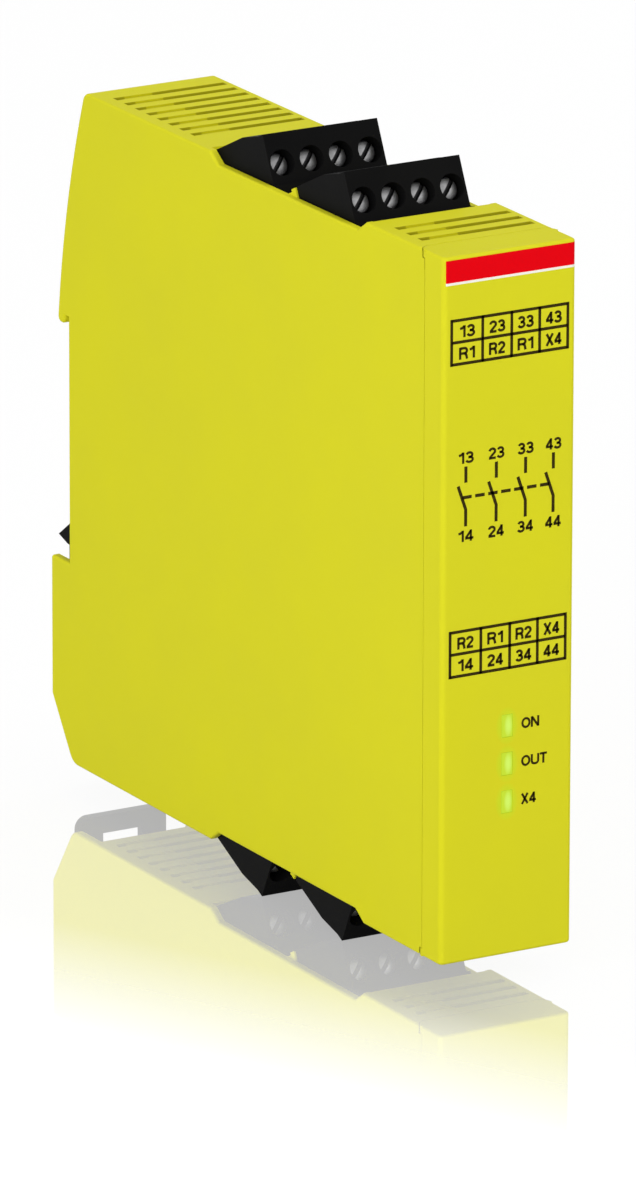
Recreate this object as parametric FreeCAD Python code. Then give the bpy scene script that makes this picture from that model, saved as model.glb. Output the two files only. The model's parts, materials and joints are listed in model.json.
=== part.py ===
import FreeCAD, Part
import math
import os

Vector = FreeCAD.Vector

# Slim rail-mounted relay module with four pull-out screw terminal plugs.
# Millimetres. X runs across the module, Y from the front face back to the rail, Z up.
# While it is drawn, Y is 0 at the front face and Z is 0 at the housing's bottom edge.

# Housing shell
module_width = 22.5
housing_height = 108.1
wall = 1.2
seam_gap = 0.12
edge_round = 0.45
cut_past = 1.0  # how far a cut runs past the face that it opens
join_in = 0.1  # how far shapes that are joined run into each other
close = 0.01  # how near two places count as the same one

# Front cap
cap_depth = 5.3
cap_face = 1.5
cap_tab = 2.0
cap_corner_round = 0.8
tongue_length = 4.2
tongue_width = 4.0
tongue_thick = 1.1
tongue_centre = 4.5

# Rail recess at the back, for a 35 mm top-hat rail
rail_width = 35.0
rail_flange = 1.0
rail_seat = 112.85
rail_centre = 53.5
rail_play = 0.6
groove_width = 1.2
lip_thick = 2.1
lip_overlap = 1.0
lip_round = 0.95
lip_rise = 0.3
rear_belly = 1.05
rear_corner_inset = 4.55
rear_corner_round = 1.7

# Foot below the rail and the channel that the latch runs in
foot_reach = 5.7
foot_drop = 3.9
foot_round = 0.5
heel_inset = 0.8
heel_height = 9.75
heel_round = 2.8
channel_depth = 7.95
channel_drop = 5.1
spring_shelf_level = 9.5
spring_shelf_thick = 1.5
spring_shelf_depth = 7.1

# Terminal bays, cut through the top and the bottom
bay_lead = 8.9
bay_tail = 14.9
bay_rim_lead = 0.2
bay_rim_tail = 1.4
bay_rim_drop = 1.65
bay_rim_ramp = 2.5

# Vent slots
vent_width = 1.3
vent_pitch = 3.39
vent_rear_lead = 7.8
vent_rear_end_gap = 5.5
vent_front_start = 10.6
vent_front_rows = 3
vent_long_start = -2.2
vent_short_start = -9.0
vent_short_length = 1.9
vent_groove_depth = 0.3

# Plugs: each one is a block leaned back by this angle, with its ridge above the housing
plug_lean = 25.3
plug_rise = 5.43
plug_width = 19.6
plug_back_wall = 1.1
plug_lead = 1.5
plug_ramp_end = 6.2
plug_roof_step = 0.9
plug_shoulder = 9.8
plug_nose_length = 6.8
plug_nose_inset = 1.6
plug_nose_width = 17.2
front_ridge = 31.3
row_spacing = 24.1

# Poles of a plug
pole_count = 4
pole_pitch = 5.0
screw_drop = 4.56
screw_recess = 1.4
screw_head_radius = 1.75
screw_head_height = 1.6
screw_shank_radius = 1.25
screw_shank_length = 5.4
screw_slot_width = 0.55
screw_slot_depth = 0.8
screw_slot_turn = 41.0
recess_radius = 2.0
shank_clearance = 0.07
head_clearance = 0.1
head_shelf = 1.0
clamp_width = 3.4
clamp_height = 5.3
clamp_front = 1.4
clamp_window = 4.5
clamp_back = 0.8
clamp_side = 0.38
clamp_travel = 2.5
clamp_clearance = 0.1
clamp_front_gap = 0.4
clamp_back_gap = 0.2
wire_entry_width = 2.8
wire_entry_depth = 3.4
wire_entry_flare = 0.4
contact_width = 2.1
contact_thick = 0.8
contact_top = 2.5
contact_reach = 1.2

# Sockets that the plugs sit in, and their pins
socket_wall_gap = 0.15
socket_front_lip = 1.0
socket_front_rise = 1.9
socket_gap = 0.1
socket_floor = 3.2
socket_side_gap = 0.15
pin_width = 1.0
pin_clearance = 0.05
pin_tip_drop = 0.8
pin_point = 0.25
tail_width = 0.7
tail_first = 6.2
tail_step = 1.2
tail_stub = 1.0
web_thick = 1.2
web_gap = 0.1
web_ledge = 1.4
apron_length = 5.5

# Rail latch and its spring
latch_width = 15.4
latch_flange_gap = 0.35
latch_depth = 3.6
latch_tab_thick = 1.6
latch_tab_height = 9.0
latch_tab_round = 2.0
latch_slot_width = 7.0
latch_slot_height = 2.0
latch_slot_level = 2.9
latch_wing_thick = 0.9
latch_wing_low = 10.0
latch_nose_under = 1.7
latch_nose_tip_under = 0.8
latch_nose_over = 2.0
latch_nose_root = 1.4
latch_nose_tip_gap = 0.05
latch_nose_crest = 0.4
latch_side_gap = 0.15
latch_run_gap = 0.1
latch_arm_gap = 0.5
latch_arm_half = 6.0
latch_arm_thick = 2.0
latch_travel = 3.5
guide_low = 12.0
guide_drop = 2.1
guide_thick = 1.0
guide_reach = 1.6
spring_radius = 3.0
spring_wire = 0.35
spring_turns = 6
spring_steps = 14
spring_sides = 6
spring_seat_gap = 0.02
spring_offset = 4.6
spring_peg_radius = 1.8
spring_peg_height = 3.0

# Circuit board and what it carries
board_face = 5.0
board_thick = 1.6
board_front = 10.6
board_rear_gap = 1.7
board_step_gap = 1.7
board_margin = 21.1
board_rear_margin = 6.0
post_radius = 1.6
post_peg_radius = 0.85
post_peg_clearance = 0.05
post_peg_start = 0.5
post_gap = 0.05
post_front = 15.0
post_front_height = 27.0
post_rear_inset = 5.0
post_rear_height = 13.0
relay_front = 22.0
relay_length = 40.0
relay_pin_gap = 1.7
relay_left = -8.0
relay_split = 1.2
relay_base = 3.0
relay_base_lip = 0.4
relay_bevel = 0.8
part_gap = 0.1
lamp_place = 0.0
lamp_high = 35.4
lamp_pitch = 5.85
lamp_count = 3
lamp_width = 1.8
lamp_height = 3.4
guide_shoulder = 0.65
guide_shoulder_depth = 0.8
guide_bend = 1.0
lamp_size = 1.6
lamp_depth = 1.2
capacitor_radius = 5.0
capacitor_length = 11.0
capacitor_rim = 0.5
capacitor_gap = 16.0
capacitor_low = 30.0
capacitor_pitch = 12.5
capacitor_high = 66.0

half_width = module_width / 2
inner_half = half_width - wall
mid_height = housing_height / 2
shell_front = cap_depth + seam_gap
rail_top = rail_centre + rail_width / 2
rail_low = rail_centre - rail_width / 2
foot_depth = rail_seat + foot_reach
foot_top = rail_low - foot_drop
heel_depth = rail_seat - heel_inset
channel_front = rail_seat - channel_depth
channel_top = foot_top - channel_drop
rear_corner_depth = rail_seat - rear_corner_inset
rear_ridge = front_ridge + row_spacing
bay_front = front_ridge - bay_lead
bay_rear = rear_ridge + bay_tail
bay_rim_start = bay_front + bay_rim_lead
bay_rim_end = bay_rear - bay_rim_tail
vent_rear_start = bay_rear + vent_rear_lead
vent_rear_room = rear_corner_depth - vent_rear_end_gap - vent_rear_start
vent_rear_rows = 1 + math.floor(vent_rear_room / vent_pitch)
latch_front = rail_seat + rail_flange + latch_flange_gap
latch_back = latch_front + latch_depth
latch_nose_low = rail_low - latch_nose_under
latch_arm_front = channel_front + latch_arm_gap
guide_high = foot_top - guide_drop
spring_place = channel_front + spring_offset
board_rear = channel_front - wall - board_rear_gap
board_step = bay_rear + board_step_gap
post_rear = board_rear - post_rear_inset
lamp_levels = [lamp_high - row * lamp_pitch for row in range(lamp_count)]
capacitor_place = relay_front + relay_length + capacitor_gap
capacitor_levels = [capacitor_low, capacitor_low + capacitor_pitch, capacitor_high]
groove_top = rail_top + rail_play
latch_arm_top = channel_top - latch_run_gap
latch_arm_low = latch_arm_top - latch_arm_thick
spring_low = spring_shelf_level + spring_shelf_thick
spring_length = latch_arm_low - spring_low
lip_bottom = rail_top - lip_overlap
lip_front = rail_seat + groove_width
lip_rear = lip_front + lip_thick
lip_shoulder = lip_bottom + lip_round + lip_rise
screw_back = screw_recess + screw_head_height
cavity_front = screw_back + head_clearance + head_shelf
clamp_length = clamp_front + clamp_window + clamp_back
clamp_open = cavity_front + clamp_front_gap + clamp_travel
cavity_back = clamp_open + clamp_length + clamp_back_gap
plug_depth = cavity_back + plug_back_wall
contact_face = clamp_open + clamp_front + clamp_clearance
pin_face = contact_face + contact_thick + pin_clearance
pin_centre = pin_face + pin_width / 2
contact_back = pin_face + pin_width + pin_clearance
nose_bottom = plug_shoulder + plug_nose_length
socket_rim = plug_shoulder + socket_gap
socket_bottom = nose_bottom + 2 * socket_gap + socket_floor
web_front = socket_front_lip + socket_gap + web_gap
web_rear = plug_depth + web_gap
web_bottom = socket_bottom + web_thick
board_back = board_face + board_thick
lean = math.radians(plug_lean)
tail_low = socket_bottom + tail_first + (pole_count - 1) * tail_step + tail_width / 2
pins_low = housing_height + plug_rise - tail_low * math.cos(lean) - pin_centre * math.sin(lean)
relay_height = pins_low - relay_pin_gap - mid_height - relay_split / 2

plugs = {
    "top_rear": {"ridge": rear_ridge, "below": False},
    "top_front": {"ridge": front_ridge, "below": False},
    "bottom_rear": {"ridge": rear_ridge, "below": True},
    "bottom_front": {"ridge": front_ridge, "below": True},
}


def pole_places():
    first = -(pole_count - 1) * pole_pitch / 2
    return [first + index * pole_pitch for index in range(pole_count)]


def box(x0, x1, y0, y1, z0, z1):
    return Part.makeBox(x1 - x0, y1 - y0, z1 - z0, Vector(x0, y0, z0))


def rod_along_x(radius, x0, x1, y, z):
    return Part.makeCylinder(radius, x1 - x0, Vector(x0, y, z), Vector(1, 0, 0))


def rod_along_y(radius, y0, y1, x, z):
    return Part.makeCylinder(radius, y1 - y0, Vector(x, y0, z), Vector(0, 1, 0))


def rod_along_z(radius, z0, z1, x, y):
    return Part.makeCylinder(radius, z1 - z0, Vector(x, y, z0), Vector(0, 0, 1))


def join(shapes):
    whole = shapes[0]
    if len(shapes) > 1:
        whole = shapes[0].fuse(shapes[1:])
    return whole.removeSplitter()


def group(shapes):
    return Part.makeCompound(shapes)


# A line through the points of a side view, with round corners where a point has a radius
def rounded_path(points):
    places = [Vector(0, y, z) for y, z, _ in points]
    edges = []
    start = places[0]
    for index in range(1, len(points) - 1):
        tip = places[index]
        radius = points[index][2]
        into = (tip - places[index - 1]).normalize()
        out = (places[index + 1] - tip).normalize()
        turn = into.getAngle(out)
        setback = radius * math.tan(turn / 2)
        first = tip - into * setback
        edges.append(Part.makeLine(start, first))
        start = tip + out * setback
        if radius > 0:
            bow = radius / math.cos(turn / 2) - radius
            middle = tip + (out - into).normalize() * bow
            edges.append(Part.Arc(first, middle, start).toShape())
    edges.append(Part.makeLine(start, places[-1]))
    return edges


# The circle that the bowed back of the housing follows above the rail
def back_circle():
    start = Vector(0, lip_rear, lip_shoulder)
    end = Vector(0, rear_corner_depth, housing_height - rear_corner_round)
    run = end - start
    radius = run.Length ** 2 / (8 * rear_belly) + rear_belly / 2
    outward = Vector(0, run.z, -run.y).normalize()
    return (start + end) / 2 - outward * (radius - rear_belly), radius


def back_point(level, inset):
    centre, radius = back_circle()
    rise = level - centre.z
    return Vector(0, centre.y + math.sqrt((radius - inset) ** 2 - rise ** 2), level)


def back_arc(low, high, inset):
    middle = back_point((low + high) / 2, inset)
    return Part.Arc(back_point(low, inset), middle, back_point(high, inset)).toShape()


def sheet(points):
    places = [Vector(0, y, z) for y, z in points]
    return Part.Face(Part.makePolygon(places + places[:1]))


def slab(face, x0, x1):
    moved = face.copy()
    moved.translate(Vector(x0, 0, 0))
    return moved.extrude(Vector(x1 - x0, 0, 0))


def mirrored(shape):
    return shape.mirror(Vector(0, 0, mid_height), Vector(0, 0, 1))


def handed(shape):
    return shape.mirror(Vector(0, 0, 0), Vector(1, 0, 0))


# The side view of the housing: plain in front, stepped at the bays, hooked and footed at the rail
def side_outline():
    rim_front = bay_rim_start + bay_rim_ramp
    rim_rear = bay_rim_end - bay_rim_ramp
    lower = [
        (shell_front, 0, 0),
        (bay_rim_start, 0, 0),
        (rim_front, bay_rim_drop, 0),
        (rim_rear, bay_rim_drop, 0),
        (bay_rim_end, 0, 0),
        (heel_depth, 0, heel_round),
        (foot_depth, heel_height, foot_round),
        (foot_depth, foot_top, foot_round),
        (rail_seat, foot_top, 0),
        (rail_seat, groove_top, 0),
        (lip_front, groove_top, 0),
        (lip_front, lip_bottom, lip_round),
        (lip_rear, lip_bottom, lip_round),
        (lip_rear, lip_shoulder, 0),
    ]
    centre, radius = back_circle()
    corner = back_point(housing_height - rear_corner_round, rear_corner_round)
    corner_low = centre + (corner - centre) * (radius / (radius - rear_corner_round))
    lean = (corner_low - corner).normalize()
    corner_mid = corner + (lean + Vector(0, 0, 1)).normalize() * rear_corner_round
    corner_high = corner + Vector(0, 0, rear_corner_round)
    upper = [
        (corner.y, housing_height, 0),
        (bay_rim_end, housing_height, 0),
        (rim_rear, housing_height - bay_rim_drop, 0),
        (rim_front, housing_height - bay_rim_drop, 0),
        (bay_rim_start, housing_height, 0),
        (shell_front, housing_height, 0),
    ]
    edges = rounded_path(lower)
    edges.append(back_arc(lip_shoulder, corner_low.z, 0))
    edges.append(Part.Arc(corner_low, corner_mid, corner_high).toShape())
    edges += rounded_path(upper)
    edges.append(Part.makeLine(Vector(0, shell_front, housing_height), Vector(0, shell_front, 0)))
    return Part.Face(Part.Wire(edges))


# The room inside, open to the front, stepped forward above the latch channel
def inner_outline():
    shelf = channel_top + wall
    back = rail_seat - wall
    ceiling = housing_height - wall
    front = shell_front - wall
    low = back_point(groove_top + wall, wall)
    high = back_point(ceiling, wall)
    points = [
        (front, wall, 0),
        (channel_front - wall, wall, 0),
        (channel_front - wall, shelf, 0),
        (back, shelf, 0),
        (back, low.z, 0),
        (low.y, low.z, 0),
    ]
    edges = rounded_path(points)
    edges.append(back_arc(low.z, high.z, wall))
    edges.append(Part.makeLine(high, Vector(0, front, ceiling)))
    edges.append(Part.makeLine(Vector(0, front, ceiling), Vector(0, front, wall)))
    return Part.Face(Part.Wire(edges))


# The cap's top tab in plan: straight at the back, round at both corners
def tab_plan(gap):
    front = cap_depth - wall
    corner = half_width - cap_tab
    radius = cap_tab + gap
    bend = radius * math.sqrt(0.5)
    side = corner + radius
    back = cap_depth + radius
    left_mid = Vector(-corner - bend, cap_depth + bend, 0)
    right_mid = Vector(corner + bend, cap_depth + bend, 0)
    edges = [
        Part.makeLine(Vector(-inner_half, front, 0), Vector(-inner_half, cap_depth, 0)),
        Part.makeLine(Vector(-inner_half, cap_depth, 0), Vector(-side, cap_depth, 0)),
        Part.Arc(Vector(-side, cap_depth, 0), left_mid, Vector(-corner, back, 0)).toShape(),
        Part.makeLine(Vector(-corner, back, 0), Vector(corner, back, 0)),
        Part.Arc(Vector(corner, back, 0), right_mid, Vector(side, cap_depth, 0)).toShape(),
        Part.makeLine(Vector(side, cap_depth, 0), Vector(inner_half, cap_depth, 0)),
        Part.makeLine(Vector(inner_half, cap_depth, 0), Vector(inner_half, front, 0)),
        Part.makeLine(Vector(inner_half, front, 0), Vector(-inner_half, front, 0)),
    ]
    return Part.Face(Part.Wire(edges))


# Room in the housing for the cap's top and bottom tabs
def tab_recess():
    plan = tab_plan(seam_gap)
    plan.translate(Vector(0, 0, housing_height - wall - seam_gap))
    top = plan.extrude(Vector(0, 0, wall + 2 * seam_gap))
    return join([top, mirrored(top)])


# Vent slots through the top and the bottom, a short one and a long one with a groove between
def vents():
    cuts = []
    starts = [vent_front_start + row * vent_pitch for row in range(vent_front_rows)]
    starts += [vent_rear_start + row * vent_pitch for row in range(vent_rear_rows)]
    low = housing_height - wall - cut_past
    high = housing_height + cut_past
    short_end = vent_short_start + vent_short_length
    for y in starts:
        y0 = y - vent_width / 2
        y1 = y + vent_width / 2
        cuts.append(box(vent_short_start, short_end, y0, y1, low, high))
        cuts.append(box(vent_long_start, inner_half + seam_gap, y0, y1, low, high))
        groove_low = housing_height - vent_groove_depth
        cuts.append(box(short_end - join_in, vent_long_start + join_in, y0, y1, groove_low, high))
    top = group(cuts)
    return group([top, mirrored(top)])


# Plug frame: Y runs back along the plug's roof from its ridge, Z up along its screw face
def seat(shape, plug):
    placed = shape.copy()
    placed.rotate(Vector(0, 0, 0), Vector(1, 0, 0), -plug_lean)
    placed.translate(Vector(0, plug["ridge"], housing_height + plug_rise))
    if plug["below"]:
        placed = mirrored(placed)
    return placed


# Leaning walls that hold a socket, with a sloping apron in front for the screwdriver
def bay_webs():
    side = inner_half
    front_low = -web_front - web_thick
    apron_low = -socket_rim - web_thick
    ledge = -socket_bottom - socket_gap
    roof = plug_roof_step - web_gap
    parts = [
        box(-side, side, front_low, -web_front, -web_bottom, -socket_rim),
        box(-side, side, -web_front - apron_length, -web_front, apron_low, -socket_rim),
        box(-side, side, web_rear, web_rear + web_thick, -web_bottom, roof),
        box(-side, side, -web_front - join_in, -web_front + web_ledge, -web_bottom, ledge),
        box(-side, side, web_rear - web_ledge, web_rear + join_in, -web_bottom, ledge),
    ]
    return join(parts)


# Two upright ribs on a side wall, with the groove that a wing of the latch runs in
def latch_guides():
    wing_front = latch_front - latch_run_gap
    wing_back = latch_front + latch_wing_thick + latch_run_gap
    outer = inner_half + join_in
    inner = inner_half - guide_reach
    front_rib = box(inner, outer, wing_front - guide_thick, wing_front, guide_low, guide_high)
    back_rib = box(inner, outer, wing_back, wing_back + guide_thick, guide_low, guide_high)
    return [front_rib, back_rib]


def post_places():
    low = [(post_front, post_front_height), (post_rear, post_rear_height)]
    return low + [(y, housing_height - z) for y, z in low]


def rounded_rim(shape, x_face):
    rim = []
    for edge in shape.Edges:
        limits = edge.BoundBox
        on_face = abs(limits.XMin - x_face) < close and abs(limits.XMax - x_face) < close
        if on_face and edge.Length > 3 * edge_round and limits.YMin > shell_front - close:
            if limits.YMax > shell_front + cap_tab + cut_past:
                rim.append(edge)
    return shape.makeFillet(edge_round, rim)


# Left side, top, bottom and back of the housing in one moulding
def housing_body():
    body = slab(side_outline(), -half_width, inner_half)
    body = rounded_rim(body, -half_width)
    body = body.cut(slab(inner_outline(), -inner_half, inner_half + cut_past))
    open_side = inner_half + cut_past
    opening = box(-inner_half, open_side, bay_front, bay_rear, -cut_past, housing_height + cut_past)
    body = body.cut(opening)
    behind = foot_depth + cut_past
    channel = box(-inner_half, open_side, channel_front, behind, -cut_past, channel_top)
    foot_room = box(-inner_half, open_side, rail_seat, behind, -cut_past, foot_top + cut_past)
    body = body.cut(join([channel, foot_room]))
    webs = [seat(bay_webs(), plug) for plug in plugs.values()]
    shelf_back = channel_front + spring_shelf_depth
    shelf = box(
        -inner_half - join_in, inner_half, channel_front - join_in, shelf_back, spring_shelf_level, spring_low,
    )
    peg_high = spring_low + spring_peg_height
    peg = rod_along_z(spring_peg_radius, spring_low - join_in, peg_high, 0, spring_place)
    guides = [handed(rib) for rib in latch_guides()]
    posts = [
        rod_along_x(post_radius, -inner_half - join_in, board_face - post_gap, y, z) for y, z in post_places()
    ]
    body = join([body, shelf, peg] + webs + guides + posts)
    sockets = [
        rod_along_x(post_peg_radius + post_peg_clearance, 0, board_face, y, z) for y, z in post_places()
    ]
    return body.cut(group([vents(), tab_recess()] + sockets))


# Right side of the housing, with posts and pegs that clamp the board
def side_cover():
    cover = slab(side_outline(), inner_half, half_width)
    cover = rounded_rim(cover, half_width)
    parts = [cover] + latch_guides()
    for y, z in post_places():
        parts.append(rod_along_x(post_radius, board_back + post_gap, inner_half + join_in, y, z))
        parts.append(rod_along_x(post_peg_radius, post_peg_start, inner_half, y, z))
    return join(parts).cut(tab_recess())


# Front cap: a shallow tray with a tab over the top and bottom, three lamp windows and four tongues
def front_cap():
    outer = box(-half_width, half_width, 0, cap_depth, 0, housing_height)
    corners = [
        edge for edge in outer.Edges
        if edge.BoundBox.YMax < close and edge.Length > module_width + cut_past
    ]
    outer = outer.makeFillet(cap_corner_round, corners)
    rims = [
        edge for edge in outer.Edges
        if edge.BoundBox.ZLength < close and edge.BoundBox.YMin < cap_corner_round + close
    ]
    outer = outer.makeFillet(edge_round, rims)
    hollow = box(-inner_half, inner_half, cap_face, cap_depth + cut_past, wall, housing_height - wall)
    shell = outer.cut(hollow)
    tab = tab_plan(0)
    tab.translate(Vector(0, 0, housing_height - wall))
    tab = tab.extrude(Vector(0, 0, wall))
    tongue_high = housing_height - wall - seam_gap
    tongue_back = cap_depth + tongue_length
    parts = [shell, tab, mirrored(tab)]
    for centre in (-tongue_centre, tongue_centre):
        x0 = centre - tongue_width / 2
        x1 = centre + tongue_width / 2
        tongue_low = tongue_high - tongue_thick
        root = box(x0, x1, cap_face - join_in, cap_depth, tongue_low, housing_height - wall)
        blade = box(x0, x1, cap_depth - join_in, tongue_back, tongue_low, tongue_high)
        parts += [root, blade, mirrored(root), mirrored(blade)]
    cap = join(parts)
    for level in lamp_levels:
        x0 = lamp_place - lamp_width / 2 - pin_clearance
        x1 = lamp_place + lamp_width / 2 + pin_clearance
        z0 = level - lamp_height / 2 - pin_clearance
        z1 = level + lamp_height / 2 + pin_clearance
        cap = cap.cut(box(x0, x1, -cut_past, cap_face + cut_past, z0, z1))
    return cap


# Black latch: nose under the rail, bar, wings in the grooves, spring arm and a slotted pull tab
def rail_latch():
    half = latch_width / 2
    side = inner_half - latch_side_gap
    tip = foot_depth - latch_nose_tip_gap
    tip_level = rail_low - latch_nose_tip_under
    high = rail_low + latch_nose_over
    crest = latch_front + latch_nose_crest
    flange = rail_seat + rail_flange + latch_run_gap
    nose = sheet([
        (flange, latch_nose_low),
        (latch_front + latch_nose_root, latch_nose_low),
        (tip, tip_level),
        (crest, high),
        (flange, high),
    ])
    bar = box(-half, half, latch_front, latch_back, latch_tab_height, latch_nose_low + join_in)
    tab = box(-half, half, latch_back - latch_tab_thick, latch_back, 0, latch_tab_height + join_in)
    corners = [
        edge for edge in tab.Edges
        if edge.BoundBox.ZMax < close and abs(edge.Length - latch_tab_thick) < close
    ]
    tab = tab.makeFillet(latch_tab_round, corners)
    wing_back = latch_front + latch_wing_thick
    wings = box(-side, side, latch_front, wing_back, latch_wing_low, latch_nose_low + join_in)
    arm_half = latch_arm_half
    arm = box(-arm_half, arm_half, latch_arm_front, latch_front + join_in, latch_arm_low, latch_arm_top)
    peg_low = latch_arm_low - spring_peg_height
    peg = rod_along_z(spring_peg_radius, peg_low, latch_arm_low + join_in, 0, spring_place)
    latch = join([slab(nose, -side, side), bar, tab, wings, arm, peg])
    slot_half = latch_slot_width / 2
    slot_high = latch_slot_level + latch_slot_height
    slot_front = latch_back - latch_tab_thick - cut_past
    slot = box(-slot_half, slot_half, slot_front, latch_back + cut_past, latch_slot_level, slot_high)
    return latch.cut(slot)


# Compression spring between the housing's shelf and the latch's arm, its wire drawn with few facets
def latch_spring():
    low = spring_low + spring_wire + spring_seat_gap
    rise = spring_length - 2 * (spring_wire + spring_seat_gap)
    steps = spring_turns * spring_steps
    rings = []
    for step in range(steps + 1):
        around = 2 * math.pi * step / spring_steps
        outward = Vector(math.cos(around), math.sin(around), 0)
        centre = outward * spring_radius + Vector(0, spring_place, low + rise * step / steps)
        ring = []
        for side in range(spring_sides):
            angle = 2 * math.pi * (side + 0.5) / spring_sides
            ring.append(centre + outward * spring_wire * math.cos(angle) + Vector(0, 0, spring_wire * math.sin(angle)))
        rings.append(ring)
    faces = triangle_fan(rings[0]) + triangle_fan(rings[-1])
    for near, far in zip(rings, rings[1:]):
        for side in range(spring_sides):
            after = (side + 1) % spring_sides
            faces.append(flat_face([near[side], near[after], far[after]]))
            faces.append(flat_face([near[side], far[after], far[side]]))
    return Part.Solid(Part.Shell(faces))


def flat_face(points):
    return Part.Face(Part.makePolygon(points + points[:1]))


def triangle_fan(ring):
    return [flat_face([ring[0], ring[i], ring[i + 1]]) for i in range(1, len(ring) - 1)]


# Depth below the ridge at which each pin turns towards the board, deepest for the farthest pin
def tail_depth(index):
    return socket_bottom + tail_first + (pole_count - 1 - index) * tail_step


def circuit_board():
    low = board_margin
    high = housing_height - board_margin
    points = [
        (board_front, low),
        (board_step, low),
        (board_step, board_rear_margin),
        (board_rear, board_rear_margin),
        (board_rear, housing_height - board_rear_margin),
        (board_step, housing_height - board_rear_margin),
        (board_step, high),
        (board_front, high),
    ]
    board = slab(sheet(points), board_face, board_back)
    holes = []
    half = tail_width / 2 + pin_clearance
    for plug in plugs.values():
        for index in range(pole_count):
            level = -tail_depth(index)
            hole = box(-half_width, half_width, pin_centre - half, pin_centre + half, level - half, level + half)
            holes.append(seat(hole, plug))
    for y, z in post_places():
        holes.append(rod_along_x(post_peg_radius + 2 * post_peg_clearance, 0, half_width, y, z))
    room = box(board_face - cut_past, board_back + cut_past, 0, board_rear, 0, housing_height)
    return board.cut(group([hole.common(room) for hole in holes]))


# Relay with a lipped base against the board and a bevelled cover
def force_guided_relay(low):
    high = low + relay_height
    back = relay_front + relay_length
    face = board_face - part_gap
    cover = box(relay_left, face, relay_front, back, low, high)
    rim = [
        edge for edge in cover.Edges
        if edge.BoundBox.XMax < relay_left + close
    ]
    cover = cover.makeChamfer(relay_bevel, rim)
    lip = relay_base_lip
    base = box(face - relay_base, face, relay_front - lip, back + lip, low - lip, high + lip)
    return join([cover, base])


def upper_relay():
    return force_guided_relay(mid_height + relay_split / 2)


def lower_relay():
    return force_guided_relay(mid_height - relay_split / 2 - relay_height)


# Lamps on the board's front edge
def status_lamps():
    lamps = []
    for level in lamp_levels:
        z0 = level - lamp_size / 2
        back = board_front + lamp_depth
        lamps.append(box(board_face - lamp_size, board_face, board_front, back, z0, z0 + lamp_size))
    return group(lamps)


# Clear bars that carry the light from the board to the front face
def light_guides():
    half = lamp_width / 2
    shoulder = half + guide_shoulder
    shoulder_back = cap_face + part_gap + guide_shoulder_depth
    end = board_front - part_gap
    wide = board_face - part_gap
    plan = [
        (lamp_place - half, 0),
        (lamp_place + half, 0),
        (lamp_place + half, cap_face + part_gap),
        (lamp_place + shoulder, cap_face + part_gap),
        (lamp_place + shoulder, shoulder_back),
        (wide, end - lamp_size - guide_bend),
        (wide, end),
        (wide - lamp_size - part_gap, end),
        (wide - lamp_size - part_gap, end - lamp_size),
        (lamp_place - shoulder, shoulder_back + guide_bend),
        (lamp_place - shoulder, cap_face + part_gap),
        (lamp_place - half, cap_face + part_gap),
    ]
    bars = []
    for level in lamp_levels:
        z0 = level - lamp_height / 2
        places = [Vector(x, y, z0) for x, y in plan]
        face = Part.Face(Part.makePolygon(places + places[:1]))
        bars.append(face.extrude(Vector(0, 0, lamp_height)))
    return group(bars)


def capacitors():
    cans = []
    face = board_face - part_gap
    for level in capacitor_levels:
        can = rod_along_x(capacitor_radius, face - capacitor_length, face, capacitor_place, level)
        rim = [
            edge for edge in can.Edges
            if edge.BoundBox.XMax < face - capacitor_length + close
        ]
        cans.append(can.makeChamfer(capacitor_rim, rim))
    return group(cans)


# Plug body: leaned block with a lead-in ridge, screw recesses, wire entries and a nose below
def plug_body():
    half = plug_width / 2
    block = sheet([
        (0, 0),
        (plug_lead, 0),
        (plug_ramp_end, plug_roof_step),
        (plug_depth, plug_roof_step),
        (plug_depth, -plug_shoulder),
        (0, -plug_shoulder),
    ])
    nose_half = plug_nose_width / 2
    nose_back = plug_depth - plug_nose_inset
    nose = box(-nose_half, nose_half, plug_nose_inset, nose_back, -nose_bottom, -plug_shoulder + join_in)
    body = join([slab(block, -half, half), nose])
    cuts = []
    for x in pole_places():
        cuts += pole_cuts(x)
    return body.cut(group(cuts))


# Room for one pole: screw recess, shank hole, clamp cavity, wire entry and contact slot
def pole_cuts(x):
    level = -screw_drop
    shank = screw_shank_radius + shank_clearance
    room = clamp_width / 2 + clamp_clearance
    rise = clamp_height / 2 + clamp_clearance
    slot_half = contact_width / 2 + clamp_clearance
    entry_half = wire_entry_width / 2
    entry_back = contact_face + contact_thick + wire_entry_depth
    entry_front = entry_back - wire_entry_depth
    flare = wire_entry_flare
    roof = plug_roof_step
    mouth = Part.makePolygon([
        Vector(x - entry_half - flare, entry_front - flare, roof),
        Vector(x + entry_half + flare, entry_front - flare, roof),
        Vector(x + entry_half + flare, entry_back + flare, roof),
        Vector(x - entry_half - flare, entry_back + flare, roof),
        Vector(x - entry_half - flare, entry_front - flare, roof),
    ])
    throat = Part.makePolygon([
        Vector(x - entry_half, entry_front, roof - 2 * flare),
        Vector(x + entry_half, entry_front, roof - 2 * flare),
        Vector(x + entry_half, entry_back, roof - 2 * flare),
        Vector(x - entry_half, entry_back, roof - 2 * flare),
        Vector(x - entry_half, entry_front, roof - 2 * flare),
    ])
    return [
        rod_along_y(recess_radius, -cut_past, screw_back + head_clearance, x, level),
        rod_along_y(shank, 0, cavity_front + join_in, x, level),
        box(x - room, x + room, cavity_front, cavity_back, level - rise, level + rise),
        box(x - entry_half, x + entry_half, entry_front, entry_back, level, roof),
        Part.makeLoft([mouth, throat], True),
        box(
            x - slot_half, x + slot_half, contact_face - clamp_clearance,
            contact_back + contact_thick + clamp_clearance, -nose_bottom - cut_past, level,
        ),
    ]


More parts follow.
